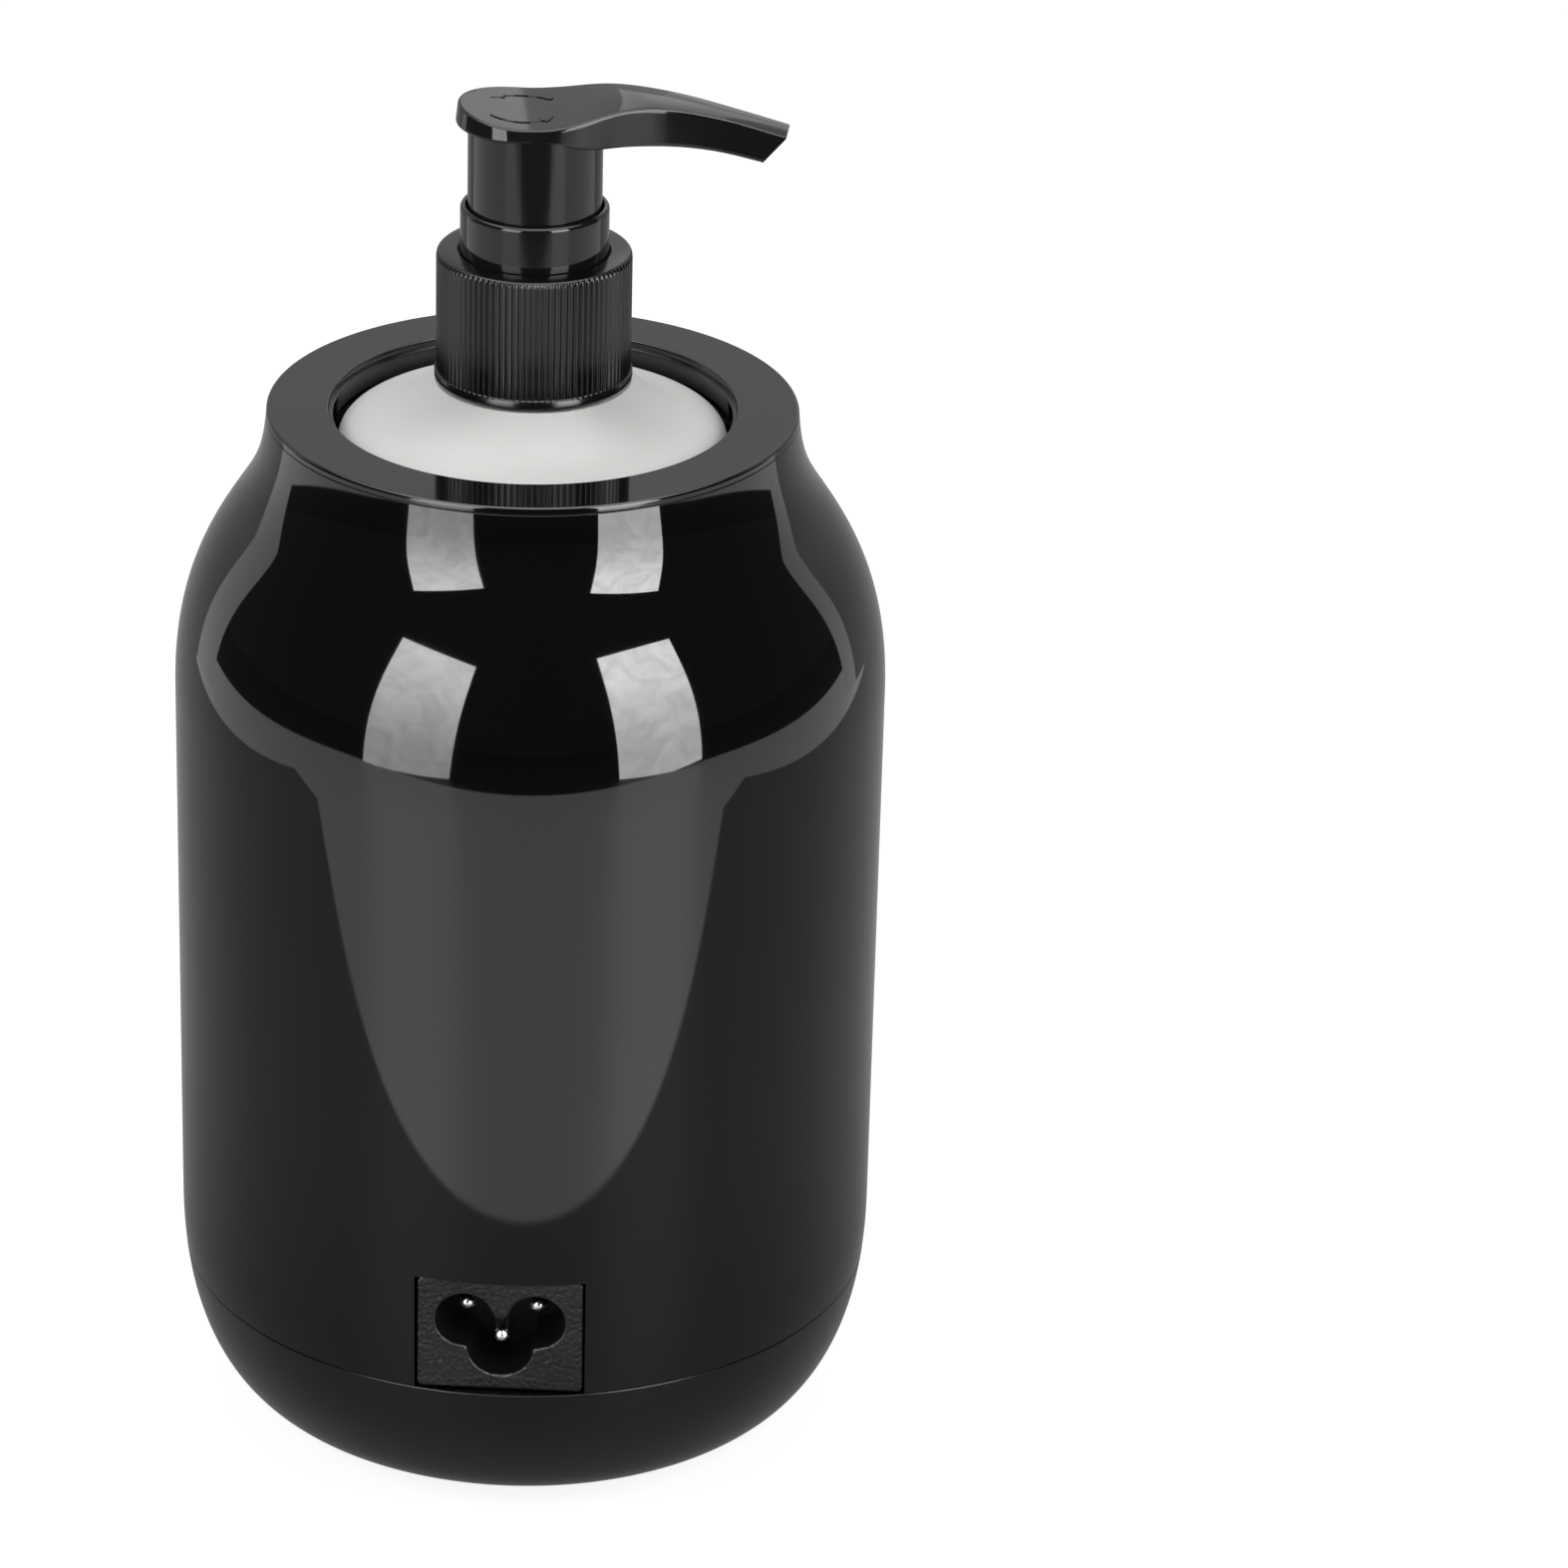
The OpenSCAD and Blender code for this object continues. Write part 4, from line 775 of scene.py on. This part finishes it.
def make_head_shell():
    """The plate and the spout: rings from the under edge to the upper edge, closed above and below."""
    side = head_side_line()
    count = len(side)
    points, faces = [], []
    # Along the side: how full the edges' rounding is, and where the flank is drawn in below and leans in above
    crisp = np.array([1 - 0.42 * ease((x - 5) / 12) for x, y in side])
    waist = np.array([ease(1 - abs(x - 11.5) / 5.5) for x, y in side])
    lean = np.array([max(1 - ease((x + 1) / 4), ease((x - 21) / 6)) for x, y in side])
    under_in, top_in = 0.3 * waist, 0.25 * crisp * lean

    def lower_x(x):
        """Where a point of the under edge lies, drawn back towards the tip's cut."""
        share = max(0.0, (x - TIP_CUT_FROM_X) / (TIP_X - TIP_CUT_FROM_X))
        return x - TIP_CUT * share * share

    def loop(d, rise, share):
        """A ring round the head at inset d. Share goes from the under edge to the upper, rise lifts it."""
        start = len(points)
        half = [(x, y, c) for (x, y), c in zip(inset_line(side, d), crisp)]
        for x, y, c in half + [(x, -y, c) for x, y, c in half[:0:-1]]:
            slant = TIP_SLANT * y * ease((x - 24) / 10)
            xx = x * share + lower_x(x) * (1 - share) + slant
            points.append((xx, y, head_top(x) * share + head_under(lower_x(x)) * (1 - share) + rise * c))
        return list(range(start, len(points)))

    rings = []
    for k in range(4):
        a = math.pi / 2 * k / 3
        inset, rise = HEAD_UNDER_EDGE * (1 - math.sin(a)), HEAD_UNDER_EDGE * (1 - math.cos(a))
        rings.append(loop(under_in + inset, rise, 0.0))
    for t in (0.08, 0.5, 0.92):
        rings.append(loop(under_in * (1 - t) + top_in * t, HEAD_UNDER_EDGE * (1 - t) - HEAD_TOP_EDGE * t, t))
    for k in range(7):
        a = math.pi / 2 * k / 6
        inset, rise = HEAD_TOP_EDGE * (1 - math.cos(a)), -HEAD_TOP_EDGE * (1 - math.sin(a))
        rings.append(loop(top_in + crisp * inset, rise, 1.0))
    total = len(rings[0])

    def close(ring, crown=0.0):
        """Fills a ring with strips that run from side to side, crowned along the spout."""
        rows, cells = [[ring[0]]], 10
        for k in range(1, count):
            left, right = ring[k], ring[total - k]
            p, q = np.array(points[left]), np.array(points[right])
            row = [left]
            for j in range(1, cells):
                row.append(len(points))
                arch = crown * ease((p[0] - 4) / 12) * (1 - (2 * j / cells - 1) ** 2)
                points.append(tuple(p + (q - p) * j / cells + (0, 0, arch)))
            rows.append(row + [right])
        for j in range(cells):
            faces.append([rows[0][0], rows[1][j], rows[1][j + 1]])
        for a, b in zip(rows[1:], rows[2:]):
            for j in range(cells):
                faces.append([a[j], b[j], b[j + 1], a[j + 1]])
        return rows[-1]

    under_end, top_end = close(rings[0]), close(rings[-1], SPOUT_CROWN)
    for a, b in zip(rings, rings[1:]):
        for k in range(total):
            n = (k + 1) % total
            low, high = [a[k], a[n]], [b[n], b[k]]
            if k == count - 1 and a is rings[0]:
                low = under_end
            if k == count - 1 and b is rings[-1]:
                high = top_end[::-1]
            faces.append(low + high)
    return points, faces


def make_skirt():
    """The tube under the plate, which ends against the plate's and the spout's underside."""
    sides, points = 128, []
    rows = [(SKIRT_R - SKIRT_WALL, SKIRT_Z), (SKIRT_R - SKIRT_EDGE, SKIRT_Z), (SKIRT_R, SKIRT_Z + SKIRT_EDGE),
            (SKIRT_R, SKIRT_MID_Z), (SKIRT_R, None), (SKIRT_R - SKIRT_WALL, None)]
    for r, z in rows:
        for k in range(sides):
            x, y = polar(r, 2 * math.pi * k / sides)
            points.append((x, y, head_under(x) + SKIRT_SINK if z is None else z))
    return points, skinned(len(rows), sides, True)


def spout_bore():
    """A round hole that runs into the spout from the middle of its end."""
    middle = Vector(((TIP_X * 2 - TIP_CUT) / 2, 0, (TIP_Z + TIP_UNDER_Z) / 2))
    ahead = Vector((7, 0, -2.3)).normalized()
    up = ahead.cross(Vector((0, 1, 0)))
    circle = [polar(BORE_R, t) for t in np.linspace(0, 2 * math.pi, 33)[:-1]]
    place = lambda u, v, h: tuple(middle + Vector((0, u, 0)) + up * v + ahead * h)
    return prism(circle, -BORE_DEPTH, BORE_CLEAR, place)


def raised_arc(start, end):
    """A low ridge on the plate that follows an arc and ends in an arrow point."""
    turn, steps, shaft = math.radians(end - start), 22, 0.8
    stops = [(shaft * k / steps, ARC_HALF_W) for k in range(steps + 1)]
    stops += [(shaft, ARROW_HALF_W), (0.9, ARROW_HALF_W * 0.52), (1.0, 0.03)]
    lines = [[], []]
    for share, w in stops:
        a = math.radians(start) + turn * share
        for line, r in zip(lines, (ARC_R + w, ARC_R - w)):
            x, y = polar(r, a)
            line.append((ARC_X + x, y))
    n = len(stops)
    points = [(x, y, head_top(x) + lift) for lift in (-ARC_SINK, ARC_RISE) for line in lines for x, y in line]
    corners = (0, n, 3 * n, 2 * n)
    sides = list(zip(corners, corners[1:] + corners[:1]))
    faces = [[a + k, a + k + 1, b + k + 1, b + k] for k in range(n - 1) for a, b in sides]
    return points, faces + [list(corners), [c + n - 1 for c in corners]]


def make_pump_head():
    spout = bare("pump_head_shell", make_head_shell())
    cut(spout, spout_bore())
    bored = [tuple(v.co / MM) for v in spout.data.vertices], [list(f.vertices) for f in spout.data.polygons]
    bpy.data.objects.remove(spout)
    socket = lathe([(SOCKET_IN_R, SOCKET_Z), (SOCKET_R, SOCKET_Z),
                    (SOCKET_R, SOCKET_TOP_Z), (SOCKET_IN_R, SOCKET_TOP_Z)], 64)
    shell = joined(bored, make_skirt(), socket, raised_arc(40, 140), raised_arc(220, 320))
    obj = bare("pump_head_piece", moved(shell, turn=SPOUT_TURN))
    smooth(obj, 38)
    fit(obj, "actuator", "pump_gloss", pump_gloss, "pump_head")


make_housing()
make_base()
make_feet()
make_ring()
make_inlet()
make_sign("power_sign", "power_key", 0.0, [open_ring(1.25, 0.17, 32), bar(0.34, 1.5, 0.95)])
make_sign("plus_sign", "plus_key", -BUTTON_PITCH, [cross(SIGN_LEN, SIGN_W)])
make_sign("minus_sign", "minus_key", BUTTON_PITCH, [bar(SIGN_LEN, SIGN_W)])
make_bottle()
make_collar()
make_lock_ring()
make_spring()
make_pump_head()


# Studio, in metres
STUDIO_TURN = math.radians(4)
CAMERA_REACH, CAMERA_RISE, CAMERA_ROLL, AIM_Z = 1.0, math.radians(25.1), math.radians(0.565), 0.09343
LENS, SENSOR_W, LENS_SHIFT = 161.72, 36.0, 0.1625
EYE_Z, BOX_REACH = 0.12, 0.6
SWEEP_REACH, SWEEP_HIGH, SWEEP_SLANT = 0.44, 0.45, 27.0
FLOOR_HALF, TABLE_HALF, TABLE_BACK = 4.0, 0.62, 0.16
MAT_HALF_W, MAT_FRONT_Y, MAT_BOW, MAT_EDGE = 0.335, -0.14, 0.42, 0.0015
# SHADE_DROP and SHADE_R set the painted shadow on the mat round the warmer, which only reflections see
TABLE_LEVEL, ROOM_LEVEL, MAT_DROP, SHADE_DROP, SHADE_R = 1.03, 0.05, 0.74, 0.1, 0.11
TABLE_GLEAM, MAT_GLEAM_DROP = 0.09, 0.067


def studio(x, y, z=0.0):
    """A point or direction of the studio in the warmer's frame."""
    c, s = math.cos(STUDIO_TURN), math.sin(STUDIO_TURN)
    return Vector((x * c - y * s, x * s + y * c, z))


def set_camera():
    data = bpy.data.cameras.new("camera")
    data.lens, data.sensor_width, data.shift_x = LENS, SENSOR_W, LENS_SHIFT
    obj = bpy.data.objects.new("camera", data)
    scene.collection.objects.link(obj)
    c, s = math.cos(CAMERA_RISE), math.sin(CAMERA_RISE)
    ahead, across, up = studio(0, c, -s), studio(1, 0), studio(0, s, c)
    cr, sr = math.cos(CAMERA_ROLL), math.sin(CAMERA_ROLL)
    right, top = across * cr + up * sr, up * cr - across * sr
    turn = Matrix((right, top, -ahead)).transposed().to_4x4()
    obj.matrix_world = Matrix.Translation(studio(0, -CAMERA_REACH * c, AIM_Z + CAMERA_REACH * s)) @ turn
    scene.camera = obj


def emptied(holder):
    """The node tree of a material or a world, with nothing in it yet."""
    holder.use_nodes = True
    holder.node_tree.nodes.clear()
    return holder.node_tree


def set_range(node, *ends):
    for label, value in zip(("From Min", "From Max", "To Min", "To Max"), ends):
        node.inputs[label].default_value = value


def glow(name, low, high, z_low=0.0, z_high=1.0, uneven=0.0):
    """Emission that grows with height, and is uneven like stretched cloth."""
    mat = bpy.data.materials.new(name)
    mat.cycles.emission_sampling = "NONE"
    tree = emptied(mat)
    link = tree.links.new
    out, light, place, split = new_nodes(tree, "OutputMaterial", "Emission", "TexCoord", "SeparateXYZ")
    span, folds, spread, both = new_nodes(tree, "MapRange", "TexNoise", "MapRange", "Math")
    span.interpolation_type, both.operation = "SMOOTHSTEP", "MULTIPLY"
    set_range(span, z_low, z_high, low, high)
    set_range(spread, 0.25, 0.75, 1 - uneven, 1 + uneven)
    folds.inputs["Scale"].default_value, folds.inputs["Distortion"].default_value = 9.0, 1.6
    link(place.outputs["Object"], split.inputs[0])
    link(split.outputs["Z"], span.inputs["Value"])
    link(place.outputs["Object"], folds.inputs["Vector"])
    link(folds.outputs["Fac"], spread.inputs["Value"])
    link(span.outputs[0], both.inputs[0])
    link(spread.outputs[0], both.inputs[1])
    link(both.outputs[0], light.inputs["Strength"])
    link(light.outputs[0], out.inputs["Surface"])
    return mat


def stage_card(name, corners, material):
    """A card that only reflections see."""
    mesh = bpy.data.meshes.new(name)
    mesh.from_pydata([tuple(studio(*p)) for p in corners], [], [list(range(len(corners)))])
    mesh.materials.append(material)
    obj = bpy.data.objects.new(name, mesh)
    scene.collection.objects.link(obj)
    obj.visible_camera = obj.visible_diffuse = obj.visible_shadow = obj.visible_transmission = False


def at(azimuth, elevation, reach=BOX_REACH):
    """A place seen from the warmer's middle. Azimuth 0 is towards the camera, and plus is to its right."""
    a = math.radians(azimuth)
    return (reach * math.sin(a), -reach * math.cos(a), EYE_Z + reach * math.tan(math.radians(elevation)))


def wall_card(name, left, right, reach, high, material, lean=(0, 0)):
    """An upright card from one azimuth to another. Lean turns its two ends, in degrees a metre of height."""
    foot_z = 0.0005
    corners = ((left, foot_z), (right, foot_z), (right + lean[1] * high, high), (left + lean[0] * high, high))
    stage_card(name, [at(a, 0, reach)[:2] + (z,) for a, z in corners], material)


def set_cards():
    stage_card("softbox_left", [at(-51, -11), at(-24, -13), at(-19, 30.5), at(-48, 33)],
               glow("softbox_left_glow", 5.0, 12.5, 0.0, 0.5, 0.14))
    stage_card("softbox_right", [at(27, -13.5), at(53, -10), at(52, 32), at(24, 33)],
               glow("softbox_right_glow", 8.0, 15.5, 0.0, 0.5, 0.16))
    sweep = glow("sweep_glow", 0.36, 0.58, 0.10, 0.34)
    panels = 8
    edges = np.linspace(122, 231, panels + 1)
    for k, (a, b) in enumerate(zip(edges, edges[1:])):
        lean = (-SWEEP_SLANT if k == 0 else 0, SWEEP_SLANT if k == panels - 1 else 0)
        wall_card(f"sweep_{k}", a, b, SWEEP_REACH, SWEEP_HIGH, sweep, lean)
        wall_card(f"sweep_high_{k}", a, b, SWEEP_REACH + 0.005, 2 * SWEEP_HIGH, sweep)
    wall_card("strip_left", -129, -116, SWEEP_REACH, SWEEP_HIGH, glow("strip_left_glow", 1.05, 1.1, 0, 0.6),
              (SWEEP_SLANT, SWEEP_SLANT))
    wall_card("strip_right", 114.5, 122, SWEEP_REACH, SWEEP_HIGH, glow("strip_right_glow", 1.0, 1.05, 0, 0.6),
              (-SWEEP_SLANT, -SWEEP_SLANT))
    stage_card("back_card", [at(a, e, 0.43) for a, e in ((150, 14), (172, 14), (172, 31), (150, 31))],
               glow("back_card_glow", 0.8, 0.8, uneven=0.2))
    plate = ((0.003, 0.2545), (0.09, 0.2545), (0.09, 0.31), (0.003, 0.31))
    stage_card("plate_card", [(x, 0.2, z) for x, z in plate],
               glow("plate_card_glow", 1.25, 1.25, uneven=0.25))
    stage_card("overhead", [(x, y, 1.0) for x, y in ((-0.7, -0.7), (0.7, -0.7), (0.7, 0.7), (-0.7, 0.7))],
               glow("overhead_glow", 4.5, 4.5))


def set_lamp(name, place, aim, size, power):
    data = bpy.data.lights.new(name, "AREA")
    data.shape, data.size, data.size_y, data.energy = "RECTANGLE", size[0], size[1], power
    obj = bpy.data.objects.new(name, data)
    scene.collection.objects.link(obj)
    here, there = studio(*place), studio(*aim)
    obj.matrix_world = Matrix.Translation(here) @ (there - here).to_track_quat("-Z", "Y").to_matrix().to_4x4()
    obj.visible_camera = obj.visible_glossy = False


def set_floor():
    """A floor that is white to the camera, and a pale table with a grey mat to reflections, with a painted
    shadow on the mat round the warmer.
    """
    h = FLOOR_HALF
    mesh = bpy.data.meshes.new("floor")
    mesh.from_pydata([(-h, -h, 0), (h, -h, 0), (h, h, 0), (-h, h, 0)], [], [[0, 1, 2, 3]])
    obj = bpy.data.objects.new("floor", mesh)
    scene.collection.objects.link(obj)
    obj.rotation_euler = (0, 0, STUDIO_TURN)
    mat = bpy.data.materials.new("studio_floor")
    tree = emptied(mat)
    new, link = tree.nodes.new, tree.links.new
    out, path, place, split = new_nodes(tree, "OutputMaterial", "LightPath", "TexCoord", "SeparateXYZ")
    link(place.outputs["Object"], split.inputs[0])

    def math_node(kind, a, b=None):
        node = new("ShaderNodeMath")
        node.operation = kind
        for i, v in enumerate((a, b)):
            if isinstance(v, (int, float)):
                node.inputs[i].default_value = v
            elif v is not None:
                link(v, node.inputs[i])
        return node.outputs[0]

    def inside(value, edge, soft, above=0, below=1):
        """A soft step from below, where value is under the edge, to above."""
        node = new("ShaderNodeMapRange")
        node.interpolation_type = "SMOOTHSTEP"
        link(value, node.inputs["Value"])
        set_range(node, edge - soft, edge + soft, below, above)
        return node.outputs[0]

    across = math_node("ABSOLUTE", split.outputs["X"])
    side = math_node("POWER", math_node("DIVIDE", across, TABLE_HALF), 4)
    depth = math_node("ABSOLUTE", math_node("SUBTRACT", split.outputs["Y"], TABLE_BACK))
    end = math_node("POWER", math_node("DIVIDE", depth, TABLE_HALF), 4)
    table = inside(math_node("ADD", side, end), 1.0, 0.05)
    left_side = math_node("MINIMUM", split.outputs["X"], 0.0)
    bow = math_node("MULTIPLY", math_node("MULTIPLY", left_side, left_side), MAT_BOW)
    front = math_node("SUBTRACT", split.outputs["Y"], bow)
    behind = inside(front, MAT_FRONT_Y, MAT_EDGE, above=1, below=0)
    mat_area = math_node("MULTIPLY", inside(across, MAT_HALF_W, MAT_EDGE), behind)
    away = new("ShaderNodeVectorMath")
    away.operation = "LENGTH"
    link(place.outputs["Object"], away.inputs[0])
    # Painted shadow: close round the warmer the mat's mirrored glow drops by SHADE_DROP, for the warmer's own
    # shadow
    painted_shadow_near = inside(away.outputs["Value"], SHADE_R, 0.05)
    level = math_node("ADD", math_node("MULTIPLY", table, TABLE_LEVEL), ROOM_LEVEL)
    level = math_node("SUBTRACT", level, math_node("MULTIPLY", mat_area, MAT_DROP))
    under = math_node("MULTIPLY", painted_shadow_near, mat_area)
    level = math_node("SUBTRACT", level, math_node("MULTIPLY", under, SHADE_DROP))
    gleam = math_node("SUBTRACT", TABLE_GLEAM, math_node("MULTIPLY", mat_area, MAT_GLEAM_DROP))
    seen = new("ShaderNodeEmission")
    seen.inputs["Strength"].default_value = 0.9
    mirrored = new("ShaderNodeEmission")
    link(level, mirrored.inputs["Strength"])
    plain = new("ShaderNodeBsdfDiffuse")
    plain.inputs["Color"].default_value = grey(0.8)
    shade = new("ShaderNodeBsdfDiffuse")
    shade.inputs["Color"].default_value = grey(0.34)
    sheen = new("ShaderNodeBsdfGlossy")
    link(gleam, sheen.inputs["Color"])
    sheen.inputs["Roughness"].default_value = 0.42
    white, glossy, pick, final = new_nodes(tree, "AddShader", "AddShader", "MixShader", "MixShader")
    for node, first, second in ((white, seen, shade), (glossy, mirrored, sheen)):
        link(first.outputs[0], node.inputs[0])
        link(second.outputs[0], node.inputs[1])
    for node, ray, off, on in ((pick, "Is Glossy Ray", plain, glossy), (final, "Is Camera Ray", pick, white)):
        for i, source in enumerate((path.outputs[ray], off.outputs[0], on.outputs[0])):
            link(source, node.inputs[i])
    link(final.outputs[0], out.inputs["Surface"])
    mat.cycles.emission_sampling = "NONE"
    mesh.materials.append(mat)


def set_world():
    world = bpy.data.worlds.new("studio_air")
    scene.world = world
    tree = emptied(world)
    link = tree.links.new
    out, path, pick = new_nodes(tree, "OutputWorld", "LightPath", "MixShader")
    dim, white = new_nodes(tree, "Background", "Background")
    link(path.outputs["Is Camera Ray"], pick.inputs[0])
    for i, air, strength in ((1, dim, 0.08), (2, white, 1.0)):
        air.inputs["Color"].default_value, air.inputs["Strength"].default_value = grey(1.0), strength
        link(air.outputs[0], pick.inputs[i])
    link(pick.outputs[0], out.inputs["Surface"])


set_camera()
set_cards()
for name, azimuth in (("lamp_left", -68), ("lamp_right", 68)):
    set_lamp(name, at(azimuth, 34), (0, 0, EYE_Z), (0.33, 0.5), 1.9)
set_lamp("lamp_top", (0, 0.15, 0.9), (0, 0, 0.1), (0.7, 0.7), 3.2)
set_floor()
set_world()

scene.view_settings.view_transform = "Standard"
